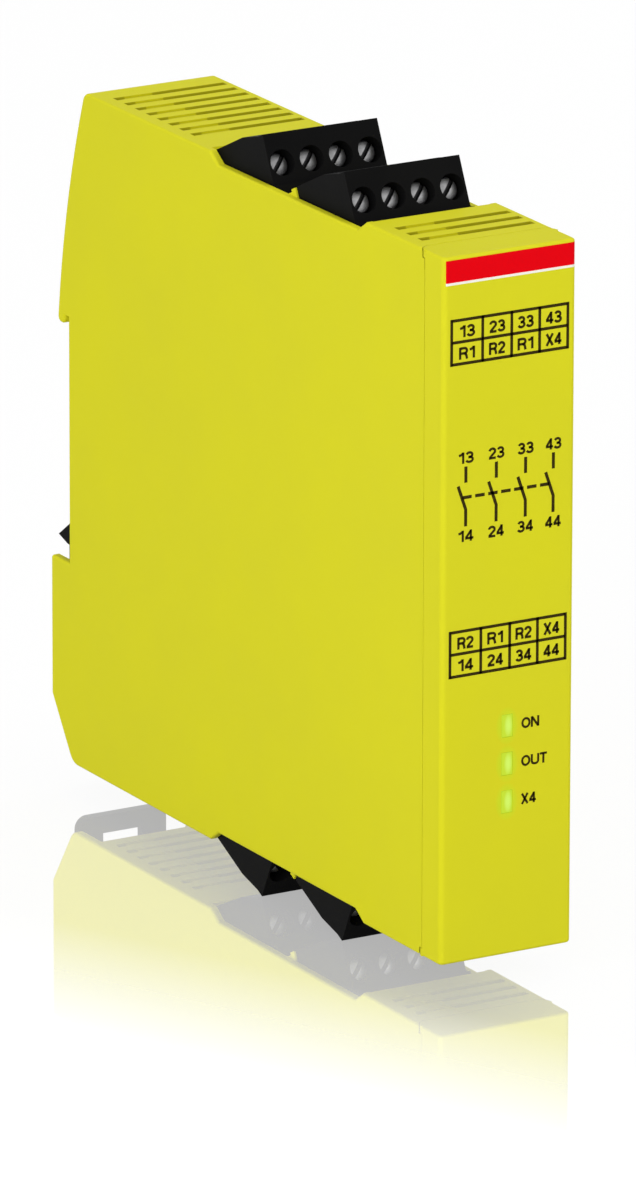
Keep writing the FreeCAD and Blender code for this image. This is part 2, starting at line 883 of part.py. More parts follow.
# Slotted screw: head just below the recess rim, plain shank in the clamp
def terminal_screw(x):
    head = rod_along_y(screw_head_radius, screw_recess, screw_back, x, -screw_drop)
    shank_end = screw_back + screw_shank_length
    shank = rod_along_y(screw_shank_radius, screw_back - join_in, shank_end, x, -screw_drop)
    half = screw_slot_width / 2
    reach = screw_head_radius + cut_past
    slot = box(
        x - half, x + half, screw_recess - cut_past, screw_recess + screw_slot_depth,
        -screw_drop - reach, -screw_drop + reach,
    )
    slot.rotate(Vector(x, 0, -screw_drop), Vector(0, 1, 0), screw_slot_turn)
    return join([head, shank]).cut(slot)


# Clamp cage, drawn open: a square sleeve that the screw pulls towards its head
def clamp_cage(x):
    half = clamp_width / 2
    rise = clamp_height / 2
    back = clamp_open + clamp_length
    cage = box(x - half, x + half, clamp_open, back, -screw_drop - rise, -screw_drop + rise)
    window_front = clamp_open + clamp_front
    window_back = back - clamp_back
    inner = half - clamp_side
    reach = rise + cut_past
    window = box(
        x - inner, x + inner, window_front, window_back, -screw_drop - reach, -screw_drop + reach,
    )
    hole = rod_along_y(
        screw_shank_radius + shank_clearance, clamp_open - cut_past, window_front + join_in, x, -screw_drop,
    )
    return cage.cut(group([window, hole]))


# Contact strip through the clamp, bent under into a fork around the pin
def plug_contact(x):
    half = contact_width / 2
    low = -nose_bottom + contact_reach
    turn = -screw_drop - clamp_height / 2 - clamp_clearance - contact_thick
    strip = box(x - half, x + half, contact_face, contact_face + contact_thick, low, -contact_top)
    leg = box(x - half, x + half, contact_back, contact_back + contact_thick, low, turn)
    bridge = box(x - half, x + half, contact_face, contact_back + contact_thick, turn - contact_thick, turn)
    return join([strip, leg, bridge])


# Socket that the plug's nose slides into, with a lip in front of the plug
def plug_socket():
    half = inner_half - socket_side_gap
    front = -socket_front_lip - socket_gap
    shell = box(-half, half, -socket_gap, plug_depth, -socket_bottom, -socket_rim)
    lip = box(-half, half, front, -socket_gap, -socket_bottom, -socket_rim + socket_front_rise)
    well_half = plug_nose_width / 2 + socket_wall_gap
    well_front = plug_nose_inset - socket_wall_gap
    well_back = plug_depth - plug_nose_inset + socket_wall_gap
    floor = -nose_bottom - 2 * socket_gap
    well = box(-well_half, well_half, well_front, well_back, floor, -socket_rim + cut_past)
    socket = join([shell, lip]).cut(well)
    half_pin = pin_width / 2
    low = -socket_bottom - cut_past
    slots = [
        box(x - half_pin, x + half_pin, pin_face, pin_face + pin_width, low, floor + cut_past)
        for x in pole_places()
    ]
    return socket.cut(group(slots))


# Pins that stand in the socket, run down inside the housing and turn into the board
def socket_pins():
    pins = []
    half = pin_width / 2
    thin = tail_width / 2
    for index, x in enumerate(pole_places()):
        depth = tail_depth(index)
        top = -socket_rim - pin_tip_drop
        upright = box(x - half, x + half, pin_face, pin_face + pin_width, -depth - thin, top)
        tip = [
            edge for edge in upright.Edges
                if edge.BoundBox.ZMin > top - close
        ]
        upright = upright.makeChamfer(pin_point, tip)
        near = min(x - half, board_face - tail_stub)
        far = max(x + half, board_back + tail_stub)
        if x > board_back:
            far = x
        tail = box(near, far, pin_centre - thin, pin_centre + thin, -depth - thin, -depth + thin)
        pins.append(join([upright, tail]))
    return group(pins)


def all_pieces():
    pieces = {
        "housing_body": housing_body(),
        "side_cover": side_cover(),
        "front_cap": front_cap(),
        "rail_latch": rail_latch(),
        "latch_spring": latch_spring(),
        "circuit_board": circuit_board(),
        "upper_relay": upper_relay(),
        "lower_relay": lower_relay(),
        "status_lamps": status_lamps(),
        "light_guides": light_guides(),
        "capacitors": capacitors(),
    }
    body = plug_body()
    contacts = group([plug_contact(x) for x in pole_places()])
    socket = plug_socket()
    pins = socket_pins()
    for name, plug in plugs.items():
        pieces["plug_" + name] = seat(body, plug)
        pieces["contacts_" + name] = seat(contacts, plug)
        pieces["socket_" + name] = seat(socket, plug)
        pieces["pins_" + name] = seat(pins, plug)
        for index, x in enumerate(pole_places()):
            number = str(index + 1)
            pieces["screw_" + name + "_" + number] = seat(terminal_screw(x), plug)
            pieces["clamp_" + name + "_" + number] = seat(clamp_cage(x), plug)
    return pieces


# From the drawing frame to the middle of the footprint, on the surface that the lower plugs stand on
def origin_shift():
    return Vector(0, -foot_depth / 2, plug_rise)


def build():
    os.makedirs("parts", exist_ok=True)
    shift = origin_shift()
    for name, piece in all_pieces().items():
        piece.translate(shift)
        piece.exportStep("parts/" + name + ".step")
        limits = piece.BoundBox
        print(name, "solids", len(piece.Solids), "valid", piece.isValid(), "volume", round(piece.Volume, 1),
              "x", round(limits.XMin, 2), round(limits.XMax, 2), "y", round(limits.YMin, 2),
              round(limits.YMax, 2), "z", round(limits.ZMin, 2), round(limits.ZMax, 2))


if __name__ == "__main__":
    build()
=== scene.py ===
import json
import math
import bmesh
import bpy
from mathutils import Matrix, Vector


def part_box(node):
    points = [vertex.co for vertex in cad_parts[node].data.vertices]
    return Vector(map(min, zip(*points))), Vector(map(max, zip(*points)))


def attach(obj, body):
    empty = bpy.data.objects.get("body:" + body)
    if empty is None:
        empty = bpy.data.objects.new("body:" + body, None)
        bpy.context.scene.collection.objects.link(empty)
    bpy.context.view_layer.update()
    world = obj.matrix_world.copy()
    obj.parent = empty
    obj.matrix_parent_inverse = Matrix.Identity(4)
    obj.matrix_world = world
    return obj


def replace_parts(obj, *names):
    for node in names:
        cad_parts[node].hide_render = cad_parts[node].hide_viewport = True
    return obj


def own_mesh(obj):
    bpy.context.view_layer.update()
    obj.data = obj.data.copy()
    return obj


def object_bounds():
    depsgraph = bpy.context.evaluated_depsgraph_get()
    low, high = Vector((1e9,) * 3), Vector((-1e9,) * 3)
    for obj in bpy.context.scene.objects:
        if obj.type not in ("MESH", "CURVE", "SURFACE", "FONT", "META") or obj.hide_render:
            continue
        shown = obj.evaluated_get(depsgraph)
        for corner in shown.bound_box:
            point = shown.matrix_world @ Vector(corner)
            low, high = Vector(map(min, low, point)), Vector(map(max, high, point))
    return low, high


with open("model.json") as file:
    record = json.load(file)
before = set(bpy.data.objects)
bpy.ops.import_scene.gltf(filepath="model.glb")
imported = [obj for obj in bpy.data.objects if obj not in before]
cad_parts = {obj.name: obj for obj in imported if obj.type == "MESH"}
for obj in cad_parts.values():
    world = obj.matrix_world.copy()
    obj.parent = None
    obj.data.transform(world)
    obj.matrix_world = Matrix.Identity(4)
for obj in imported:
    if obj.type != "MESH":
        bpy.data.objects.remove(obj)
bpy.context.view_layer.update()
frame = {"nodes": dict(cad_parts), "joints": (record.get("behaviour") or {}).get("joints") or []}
nodes = frame["nodes"]
mm = 0.001

cap = {
    "front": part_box("front_cap")[0].y,
    "bottom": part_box("front_cap")[0].z,
    "halfWidth": 11.25 * mm,
    "cornerRound": 0.8 * mm,
}
lampLevels = [35.4, 29.55, 23.7]  # mm above the cap's lower edge


# Materials

def newMaterial(name):
    material = bpy.data.materials.new(name)
    material.use_nodes = True
    tree = material.node_tree
    shader = tree.nodes["Principled BSDF"]
    place = tree.nodes.new("ShaderNodeTexCoord")
    return material, tree, shader, place.outputs["Object"]


def addNoise(tree, place, scale, detail=2.0, roughness=0.5):
    noise = tree.nodes.new("ShaderNodeTexNoise")
    noise.inputs["Scale"].default_value = scale
    noise.inputs["Detail"].default_value = detail
    noise.inputs["Roughness"].default_value = roughness
    tree.links.new(place, noise.inputs["Vector"])
    return noise.outputs["Fac"]


# Gives a socket a plain value, or links another socket to it
def setInput(tree, socket, value):
    if isinstance(value, (int, float, tuple)):
        socket.default_value = value
    else:
        tree.links.new(value, socket)


def addRange(tree, value, low, high, fromLow=0.0, fromHigh=1.0):
    spread = tree.nodes.new("ShaderNodeMapRange")
    ends = {"From Min": fromLow, "From Max": fromHigh, "To Min": low, "To Max": high, "Value": value}
    for label, end in ends.items():
        setInput(tree, spread.inputs[label], end)
    return spread.outputs["Result"]


def addMix(tree, factor, first, second):
    mix = tree.nodes.new("ShaderNodeMix")
    mix.data_type = "RGBA"
    for index, value in ((0, factor), (6, first), (7, second)):
        setInput(tree, mix.inputs[index], value)
    return mix.outputs[2]


def addMath(tree, operation, first, second=0.0):
    node = tree.nodes.new("ShaderNodeMath")
    node.operation = operation
    setInput(tree, node.inputs[0], first)
    setInput(tree, node.inputs[1], second)
    return node.outputs[0]


def addBump(tree, shader, height, distance, strength=1.0):
    bump = tree.nodes.new("ShaderNodeBump")
    bump.inputs["Distance"].default_value = distance
    bump.inputs["Strength"].default_value = strength
    tree.links.new(height, bump.inputs["Height"])
    tree.links.new(bump.outputs["Normal"], shader.inputs["Normal"])


def shade(tone):
    return (tone[0], tone[1], tone[2], 1.0)


# Moulded plastic: spark-eroded grain, faint flow clouds and a slightly uneven shine
def mouldedPlastic(name, look):
    material, tree, shader, place = newMaterial(name)
    clouds = addNoise(tree, place, look["cloudScale"], 3.0)
    grain = addNoise(tree, place, look["grainScale"], 4.0, 0.6)
    spread = addRange(tree, clouds, 0.0, 1.0, 0.3, 0.7)
    colour = addMix(tree, spread, shade(look["colour"]), shade(look["cloudColour"]))
    tree.links.new(colour, shader.inputs["Base Color"])
    shine = addRange(tree, grain, look["roughLow"], look["roughHigh"], 0.3, 0.7)
    tree.links.new(shine, shader.inputs["Roughness"])
    shader.inputs["Specular IOR Level"].default_value = look["specular"]
    addBump(tree, shader, grain, look["grainDepth"])
    return material, tree, shader, place, colour


housingLook = {
    "colour": (0.690, 0.664, 0.017),
    "cloudColour": (0.672, 0.646, 0.020),
    "cloudScale": 60.0,
    "grainScale": 5200.0,
    "grainDepth": 0.000012,
    "roughLow": 0.42,
    "roughHigh": 0.56,
    "specular": 0.03,
}
blackLook = {
    "colour": (0.0046, 0.0046, 0.0048),
    "cloudColour": (0.0058, 0.0058, 0.0060),
    "cloudScale": 120.0,
    "grainScale": 6400.0,
    "grainDepth": 0.000010,
    "roughLow": 0.42,
    "roughHigh": 0.58,
    "specular": 0.02,
}
relayLook = {
    "colour": (0.55, 0.55, 0.52),
    "cloudColour": (0.50, 0.50, 0.47),
    "cloudScale": 90.0,
    "grainScale": 3000.0,
    "grainDepth": 0.000006,
    "roughLow": 0.25,
    "roughHigh": 0.35,
    "specular": 0.5,
}
print("materials: plastics")

# Painted shade for the housing top: darker olive in the vent slots, a lighter painted shade in the grooves
# between them and along the seam behind the cap
slotShade = {
    "colour": (0.43, 0.395, 0.010),
    "grooveColour": (0.56, 0.53, 0.014),
    "columns": [(-9.05 * mm, -7.05 * mm), (-2.25 * mm, 10.2 * mm)],
    "groove": (-7.05 * mm, -2.25 * mm),
    "rows": [(10.6 * mm, 3), (78.1 * mm, 8)],  # first row behind the front face, and how many
    "pitch": 3.39 * mm,
    "halfRow": 0.72 * mm,
    "seam": (5.22 * mm, 5.56 * mm),
    "depth": 3.0 * mm,
    "roof": cap["bottom"] + 108.1 * mm,
}


# One inside a span along an axis, zero outside it
def addSpan(tree, value, low, high):
    above = addMath(tree, "GREATER_THAN", value, low)
    below = addMath(tree, "LESS_THAN", value, high)
    return addMath(tree, "MULTIPLY", above, below)


# One on the rows of vent slots, zero between them
def addVentRows(tree, along):
    rows = 0.0
    for first, count in slotShade["rows"]:
        share = addMath(tree, "SUBTRACT", along, cap["front"] + first)
        share = addMath(tree, "DIVIDE", share, slotShade["pitch"])
        nearest = addMath(tree, "ROUND", share)
        near = addMath(tree, "ABSOLUTE", addMath(tree, "SUBTRACT", share, nearest))
        near = addMath(tree, "LESS_THAN", near, slotShade["halfRow"] / slotShade["pitch"])
        near = addMath(tree, "MULTIPLY", near, addSpan(tree, nearest, -0.5, count - 0.5))
        rows = addMath(tree, "MAXIMUM", near, rows)
    return rows


# Housing plastic with painted shade inside the deep vent slots, in the grooves between them and along the
# seam behind the cap
def housingPlasticMaterial():
    material, tree, shader, place, colour = mouldedPlastic("housingPlastic", housingLook)
    split = tree.nodes.new("ShaderNodeSeparateXYZ")
    tree.links.new(place, split.inputs[0])
    across, along, upward = split.outputs
    skin = addMath(tree, "GREATER_THAN", upward, slotShade["roof"] - slotShade["depth"])
    rows = addMath(tree, "MULTIPLY", addVentRows(tree, along), skin)
    seamLow, seamHigh = slotShade["seam"]
    seam = addSpan(tree, along, cap["front"] + seamLow, cap["front"] + seamHigh)
    groove = addMath(tree, "MULTIPLY", rows, addSpan(tree, across, *slotShade["groove"]))
    groove = addMath(tree, "MAXIMUM", groove, addMath(tree, "MULTIPLY", seam, skin))
    slots = 0.0
    for low, high in slotShade["columns"]:
        slots = addMath(tree, "MAXIMUM", addSpan(tree, across, low, high), slots)
    slots = addMath(tree, "MULTIPLY", slots, rows)
    # Painted shade: lighter in the grooves and on the seam, darker in the slots
    mixed = addMix(tree, groove, colour, shade(slotShade["grooveColour"]))
    mixed = addMix(tree, slots, mixed, shade(slotShade["colour"]))
    tree.links.new(mixed, shader.inputs["Base Color"])
    return material


housingPlastic = housingPlasticMaterial()
blackPlastic = mouldedPlastic("blackPlastic", blackLook)[0]
relayPlastic = mouldedPlastic("relayPlastic", relayLook)[0]

# Painted lamp light: a green tint on the cap's colour round each lamp window
paintedGlowLook = {
    "halfWidth": 2.0 * mm,
    "halfHeight": 3.0 * mm,
    "reach": 1.4 * mm,
    "colour": (0.56, 0.74, 0.028),
    "strength": 0.85,
    "fullShare": 0.05,  # part of the spot at full strength
}


# Yellow cap plastic with painted green lamp light round each lamp window
def capPlasticMaterial():
    material, tree, shader, place, colour = mouldedPlastic("capPlastic", housingLook)
    split = tree.nodes.new("ShaderNodeSeparateXYZ")
    tree.links.new(place, split.inputs[0])
    glow = 0.0
    for level in lampLevels:
        height = cap["bottom"] + level * mm
        across = addMath(tree, "DIVIDE", split.outputs["X"], paintedGlowLook["halfWidth"])
        upward = addMath(tree, "SUBTRACT", split.outputs["Z"], height)
        upward = addMath(tree, "DIVIDE", upward, paintedGlowLook["halfHeight"])
        depth = addMath(tree, "SUBTRACT", split.outputs["Y"], cap["front"])
        depth = addMath(tree, "DIVIDE", depth, paintedGlowLook["reach"])
        total = addMath(tree, "MULTIPLY", across, across)
        total = addMath(tree, "ADD", total, addMath(tree, "MULTIPLY", upward, upward))
        total = addMath(tree, "ADD", total, addMath(tree, "MULTIPLY", depth, depth))
        spot = addRange(tree, total, paintedGlowLook["strength"], 0.0, paintedGlowLook["fullShare"], 1.0)
        glow = addMath(tree, "MAXIMUM", spot, glow)
    mixed = addMix(tree, glow, colour, shade(paintedGlowLook["colour"]))
    tree.links.new(mixed, shader.inputs["Base Color"])
    return material


capPlastic = capPlasticMaterial()


# Plated or drawn metal: fine scratches along one direction, cloudy tarnish
def platedMetal(name, look):
    material, tree, shader, place = newMaterial(name)
    stretch = tree.nodes.new("ShaderNodeMapping")
    stretch.inputs["Scale"].default_value = look["stretch"]
    stretch.inputs["Rotation"].default_value = look["turn"]
    tree.links.new(place, stretch.inputs["Vector"])
    scratches = addNoise(tree, stretch.outputs["Vector"], look["scratchScale"], 5.0, 0.7)
    tarnish = addNoise(tree, place, look["tarnishScale"], 3.0)
    spread = addRange(tree, tarnish, 0.0, 1.0, 0.35, 0.65)
    colour = addMix(tree, spread, shade(look["colour"]), shade(look["tarnish"]))
    tree.links.new(colour, shader.inputs["Base Color"])
    rough = addRange(tree, scratches, look["roughLow"], look["roughHigh"], 0.3, 0.7)
    tree.links.new(rough, shader.inputs["Roughness"])
    shader.inputs["Metallic"].default_value = look["metallic"]
    addBump(tree, shader, scratches, look["scratchDepth"])
    # Painted shade on the faces marked as the screwdriver slot
    if "slotColour" in look:
        mark = tree.nodes.new("ShaderNodeAttribute")
        mark.attribute_name = "inSlot"
        mixed = addMix(tree, mark.outputs["Fac"], colour, shade(look["slotColour"]))
        tree.links.new(mixed, shader.inputs["Base Color"])
    return material


metalLooks = {
    "screwSteel": {
        # The darkest colour here is painted shade for the screwdriver slot
        "colour": (0.35, 0.35, 0.355), "tarnish": (0.24, 0.24, 0.245), "slotColour": (0.035, 0.035, 0.036),
        "stretch": (1, 6, 6), "turn": (0.44, 0, 0.6), "scratchScale": 900.0, "tarnishScale": 700.0,
        "roughLow": 0.32, "roughHigh": 0.55, "scratchDepth": 0.00001, "metallic": 0.9,
    },
    "clampSteel": {
        "colour": (0.60, 0.60, 0.60), "tarnish": (0.45, 0.45, 0.44),
        "stretch": (6, 1, 6), "turn": (0.44, 0, 0), "scratchScale": 800.0, "tarnishScale": 300.0,
        "roughLow": 0.25, "roughHigh": 0.45, "scratchDepth": 0.000008, "metallic": 1.0,
    },
    "tinnedBrass": {
        "colour": (0.66, 0.62, 0.50), "tarnish": (0.50, 0.44, 0.30),
        "stretch": (6, 6, 1), "turn": (0.44, 0, 0), "scratchScale": 900.0, "tarnishScale": 400.0,
        "roughLow": 0.22, "roughHigh": 0.40, "scratchDepth": 0.000006, "metallic": 1.0,
    },
    "springSteel": {
        "colour": (0.50, 0.50, 0.51), "tarnish": (0.32, 0.31, 0.30),
        "stretch": (1, 1, 4), "turn": (0, 0, 0), "scratchScale": 1500.0, "tarnishScale": 500.0,
        "roughLow": 0.22, "roughHigh": 0.40, "scratchDepth": 0.000005, "metallic": 1.0,
    },
    "canAluminium": {
        "colour": (0.72, 0.73, 0.75), "tarnish": (0.60, 0.61, 0.64),
        "stretch": (8, 1, 1), "turn": (0, 0, 0), "scratchScale": 300.0, "tarnishScale": 120.0,
        "roughLow": 0.28, "roughHigh": 0.42, "scratchDepth": 0.000008, "metallic": 1.0,
    },
    "solderTin": {
        "colour": (0.62, 0.62, 0.62), "tarnish": (0.46, 0.46, 0.47),
        "stretch": (1, 1, 1), "turn": (0, 0, 0), "scratchScale": 1500.0, "tarnishScale": 900.0,
        "roughLow": 0.18, "roughHigh": 0.32, "scratchDepth": 0.00001, "metallic": 1.0,
    },
}
metals = {name: platedMetal(name, look) for name, look in metalLooks.items()}
print("materials: metals")

boardLook = {
    "resist": (0.020, 0.115, 0.045),
    "copper": (0.045, 0.190, 0.075),
    "gapScale": 160.0,
    "unevenness": 0.55,
    "copperEdge": 0.035,
    "edgeBlur": 0.02,
    "weaveScale": 2500.0,
    "copperRise": 0.00003,
}


# Green solder resist with the copper areas showing lighter through it
def boardMaterial():
    material, tree, shader, place = newMaterial("boardResist")
    cells = tree.nodes.new("ShaderNodeTexVoronoi")
    cells.feature = "DISTANCE_TO_EDGE"
    cells.distance = "EUCLIDEAN"
    cells.inputs["Scale"].default_value = boardLook["gapScale"]
    cells.inputs["Randomness"].default_value = boardLook["unevenness"]
    tree.links.new(place, cells.inputs["Vector"])
    edge = boardLook["copperEdge"]
    copper = addRange(tree, cells.outputs["Distance"], 0.0, 1.0, edge, edge + boardLook["edgeBlur"])
    weave = addNoise(tree, place, boardLook["weaveScale"], 2.0)
    colour = addMix(tree, copper, shade(boardLook["resist"]), shade(boardLook["copper"]))
    tree.links.new(colour, shader.inputs["Base Color"])
    tree.links.new(addRange(tree, weave, 0.22, 0.36), shader.inputs["Roughness"])
    addBump(tree, shader, copper, boardLook["copperRise"], 0.6)
    return material


boardResist = boardMaterial()

lampLook = {
    "body": (0.29, 0.38, 0.018),
    "rim": (0.28, 0.38, 0.016),
    "core": (0.37, 0.55, 0.125),
    "halfWidth": 0.62 * mm,
    "halfHeight": 1.55 * mm,
    "falloff": 1.3,
    "strength": 1.0,
    "shift": 0.20 * mm,  # the core sits a little right of the window's middle
    "specular": 0.1,
    "frostScale": 2600.0,
    "frostDepth": 0.000008,
}


# Lit plastic: brightest along a soft upright core in the window
def litPlasticMaterial():
    material, tree, shader, place = newMaterial("litPlastic")
    split = tree.nodes.new("ShaderNodeSeparateXYZ")
    tree.links.new(place, split.inputs[0])
    core = 0.0
    across = addMath(tree, "SUBTRACT", split.outputs["X"], lampLook["shift"])
    across = addMath(tree, "DIVIDE", across, lampLook["halfWidth"])
    across = addMath(tree, "MULTIPLY", across, across)
    for level in lampLevels:
        upward = addMath(tree, "SUBTRACT", split.outputs["Z"], cap["bottom"] + level * mm)
        upward = addMath(tree, "DIVIDE", upward, lampLook["halfHeight"])
        total = addMath(tree, "ADD", across, addMath(tree, "MULTIPLY", upward, upward))
        core = addMath(tree, "MAXIMUM", addRange(tree, total, 1.0, 0.0, 0.0, lampLook["falloff"]), core)
    frost = addNoise(tree, place, lampLook["frostScale"], 2.0)
    colour = addMix(tree, core, shade(lampLook["rim"]), shade(lampLook["core"]))
    tree.links.new(colour, shader.inputs["Emission Color"])
    tree.links.new(addRange(tree, frost, 0.25, 0.45), shader.inputs["Roughness"])
    shader.inputs["Emission Strength"].default_value = lampLook["strength"]
    shader.inputs["Base Color"].default_value = shade(lampLook["body"])
    shader.inputs["Specular IOR Level"].default_value = lampLook["specular"]
    addBump(tree, shader, frost, lampLook["frostDepth"])
    return material


litPlastic = litPlasticMaterial()

inkLook = {
    "red": ((0.80, 0.0005, 0.005), (0.75, 0.001, 0.006)),  # full cover, thin cover
    "white": ((0.90, 0.88, 0.82), (0.86, 0.84, 0.74)),
    "dark": ((0.030, 0.021, 0.004), (0.042, 0.030, 0.005)),
    "coverScale": 1800.0,
    "roughLow": 0.38,
    "roughHigh": 0.55,
    "specular": 0.03,
    "grainDepth": 0.000004,
}


# Pad-printed ink, a little uneven in its cover
def printedInk(name, colour, thin):
    material, tree, shader, place = newMaterial(name)
    cover = addNoise(tree, place, inkLook["coverScale"], 3.0, 0.7)
    mixed = addMix(tree, addRange(tree, cover, 0.0, 1.0, 0.25, 0.75), shade(colour), shade(thin))
    tree.links.new(mixed, shader.inputs["Base Color"])
    rough = addRange(tree, cover, inkLook["roughLow"], inkLook["roughHigh"])
    tree.links.new(rough, shader.inputs["Roughness"])
    shader.inputs["Specular IOR Level"].default_value = inkLook["specular"]
    addBump(tree, shader, cover, inkLook["grainDepth"])
    return material


redInk = printedInk("redInk", *inkLook["red"])
whiteInk = printedInk("whiteInk", *inkLook["white"])
darkInk = printedInk("darkInk", *inkLook["dark"])

finishes = {
    "housing_body": housingPlastic,
    "side_cover": housingPlastic,
    "front_cap": capPlastic,
    "rail_latch": blackPlastic,
    "latch_spring": metals["springSteel"],
    "circuit_board": boardResist,
    "upper_relay": relayPlastic,
    "lower_relay": relayPlastic,
    "status_lamps": litPlastic,
    "light_guides": litPlastic,
    "capacitors": metals["canAluminium"],
}
nodeFinish = {
    "plug_": blackPlastic,
    "socket_": blackPlastic,
    "contacts_": metals["tinnedBrass"],
    "pins_": metals["tinnedBrass"],
    "screw_": metals["screwSteel"],
    "clamp_": metals["clampSteel"],
}
for name, node in nodes.items():
    finish = finishes.get(name)
    for start, material in nodeFinish.items():
        if finish is None and name.startswith(start):
            finish = material
    for slot in node.material_slots:
        slot.material = finish
print("materials: on", len(nodes), "nodes")


# Helpers for new pieces

def meshPiece(name, mesh, material, body="housing"):
    piece = bpy.data.objects.new(name, mesh)
    bpy.context.scene.collection.objects.link(piece)
    mesh.materials.clear()
    mesh.materials.append(material)
    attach(piece, body)
    return piece


def meshFrom(name, build):
    mesh = bpy.data.meshes.new(name)
    work = bmesh.new()
    build(work)
    bmesh.ops.recalc_face_normals(work, faces=work.faces)
    work.to_mesh(mesh)
    work.free()
    return mesh


# Skins a row of equal rings into a closed form
def skinRings(work, rings):
    count = len(rings[0])
    for near, far in zip(rings, rings[1:]):
        for i in range(count):
            work.faces.new((near[i], near[(i + 1) % count], far[(i + 1) % count], far[i]))
    work.faces.new(rings[0])
    work.faces.new(list(reversed(rings[-1])))


def addBlock(work, size):
    bmesh.ops.create_cube(work, size=1.0)
    for vertex in work.verts:
        vertex.co = Vector([along * side for along, side in zip(vertex.co, size)])


# Takes the result of an object's modifiers as a plain mesh and removes the object
def plainMesh(source):
    bpy.context.view_layer.update()
    seen = source.evaluated_get(bpy.context.evaluated_depsgraph_get())
    mesh = bpy.data.meshes.new_from_object(seen)
    bpy.data.objects.remove(source)
    return mesh


# Print on the front face

ink = {
    "depth": 0.022 * mm,
    "line": 0.46 * mm,
    "weight": 0.215,  # letter stroke as a share of the letter height
    "letterGap": 0.03,
}
band = {
    "redLow": 104.22 * mm,
    "redHigh": 107.6 * mm,
    "whiteLow": 103.84 * mm,
    "left": -10.80 * mm,
    "right": 11.02 * mm,
    "steps": 8,  # round each bend of the face
    "flatSteps": 6,
}
tables = {
    "upperTable": {"low": 91.83, "high": 98.45, "rows": [["13", "23", "33", "43"], ["R1", "R2", "R1", "X4"]]},
    "lowerTable": {"low": 44.3, "high": 51.1, "rows": [["R2", "R1", "R2", "X4"], ["14", "24", "34", "44"]]},
}
tableSize = {
    "halfWidth": 9.82 * mm,
    "columnShares": [0.0, 0.266, 0.516, 0.757, 1.0],
    "digitHeight": 1.80 * mm,
    "digitWidth": 2.75 * mm,
    "digitDrop": 0.10 * mm,
}
diagram = {
    "columns": [-7.30 * mm, -2.14 * mm, 2.82 * mm, 7.55 * mm],
    "line": 0.50 * mm,
    "upper": (76.15 * mm, 73.7 * mm),
    "bladeTip": (-1.30 * mm, 73.3 * mm),
    "bladeFoot": 69.6 * mm,
    "lower": 67.06 * mm,
    "dashLevel": 71.47 * mm,
    "dashStart": -7.9 * mm,
    "dashLength": 1.60 * mm,
    "dashPitch": 2.20 * mm,
    "dashCount": 7,
    "upperDigits": 77.5 * mm,
    "lowerDigits": 65.6 * mm,
    "digitHeight": 1.72 * mm,
    "digitWidth": 2.75 * mm,
}
lampWords = {
    "words": [("ON", 3.05), ("OUT", 4.45), ("X4", 2.6)],
    "left": 2.42 * mm,
    "height": 1.62 * mm,
}


# How far the face falls back at a place across it, at the round upright edges
def faceDepth(x):
    over = abs(x) - (cap["halfWidth"] - cap["cornerRound"])
    if over <= 0:
        return 0.0
    return cap["cornerRound"] - math.sqrt(max(cap["cornerRound"] ** 2 - over ** 2, 0.0))


def bandMesh(name, low, high):
    flat = cap["halfWidth"] - cap["cornerRound"]
    steps = band["steps"]
    places = [-flat + 2 * flat * i / band["flatSteps"] for i in range(band["flatSteps"] + 1)]
    leftBend = [-flat + (band["left"] + flat) * (i + 1) / steps for i in range(steps)]
    rightBend = [flat + (band["right"] - flat) * (i + 1) / steps for i in range(steps)]
    places = list(reversed(leftBend)) + places + rightBend

    def build(work):
        rows = []
        for x in places:
            y = cap["front"] + faceDepth(x)
            ring = []
            for z in (low, high):
                for outward in (0.5 * ink["depth"], -ink["depth"]):
                    ring.append(work.verts.new((x, y + outward, cap["bottom"] + z)))
            rows.append([ring[0], ring[1], ring[3], ring[2]])
        skinRings(work, rows)

    return meshFrom(name, build)


# Ribbon of ink along a line of points on the face, with mitred corners
def inkRibbon(work, points, width):
    places = [Vector((x, z)) for x, z in points]
    sides = []
    for index, place in enumerate(places):
        before = places[max(index - 1, 0)]
        after = places[min(index + 1, len(places) - 1)]
        inward = (place - before).normalized() if index > 0 else (after - place).normalized()
        outward = (after - place).normalized() if index < len(places) - 1 else inward
        along = (inward + outward).normalized()
        mitre = width / 2 / max(along.dot(inward), 0.6)
        sides.append(Vector((-along.y, along.x)) * mitre)
    rings = []
    for place, side in zip(places, sides):
        ring = []
        for offset, depth in ((side, 0.5), (side, -1.0), (-side, -1.0), (-side, 0.5)):
            spot = place + offset
            ring.append(work.verts.new((spot.x, cap["front"] + depth * ink["depth"], cap["bottom"] + spot.y)))
        rings.append(ring)
    skinRings(work, rings)


# A new node tree with named inputs, the last of them a material, and one output
def startTree(name, inputs, output):
    tree = bpy.data.node_groups.new(name, "GeometryNodeTree")
    for label, kind in inputs + [("Finish", "Material")]:
        tree.interface.new_socket(label, in_out="INPUT", socket_type="NodeSocket" + kind)
    tree.interface.new_socket(output, in_out="OUTPUT", socket_type="NodeSocketGeometry")
    return tree, tree.nodes.new("NodeGroupInput").outputs


# Ends a tree: copies made real, and the material from its last input on all of them
def endTree(tree, given, geometry, output):
    real = tree.nodes.new("GeometryNodeRealizeInstances")
    finish = tree.nodes.new("GeometryNodeSetMaterial")
    leave = tree.nodes.new("NodeGroupOutput")
    tree.links.new(geometry, real.inputs["Geometry"])
    tree.links.new(real.outputs["Geometry"], finish.inputs["Geometry"])
    tree.links.new(given["Finish"], finish.inputs["Material"])
    tree.links.new(finish.outputs["Geometry"], leave.inputs[output])
    return tree


# Sweeps a closed outline along a curve, with its ends closed
def sweepAlong(tree, curve, outline):
    sweep = tree.nodes.new("GeometryNodeCurveToMesh")
    sweep.inputs["Fill Caps"].default_value = True
    tree.links.new(curve, sweep.inputs["Curve"])
    tree.links.new(outline, sweep.inputs["Profile Curve"])
    return sweep.outputs["Mesh"]


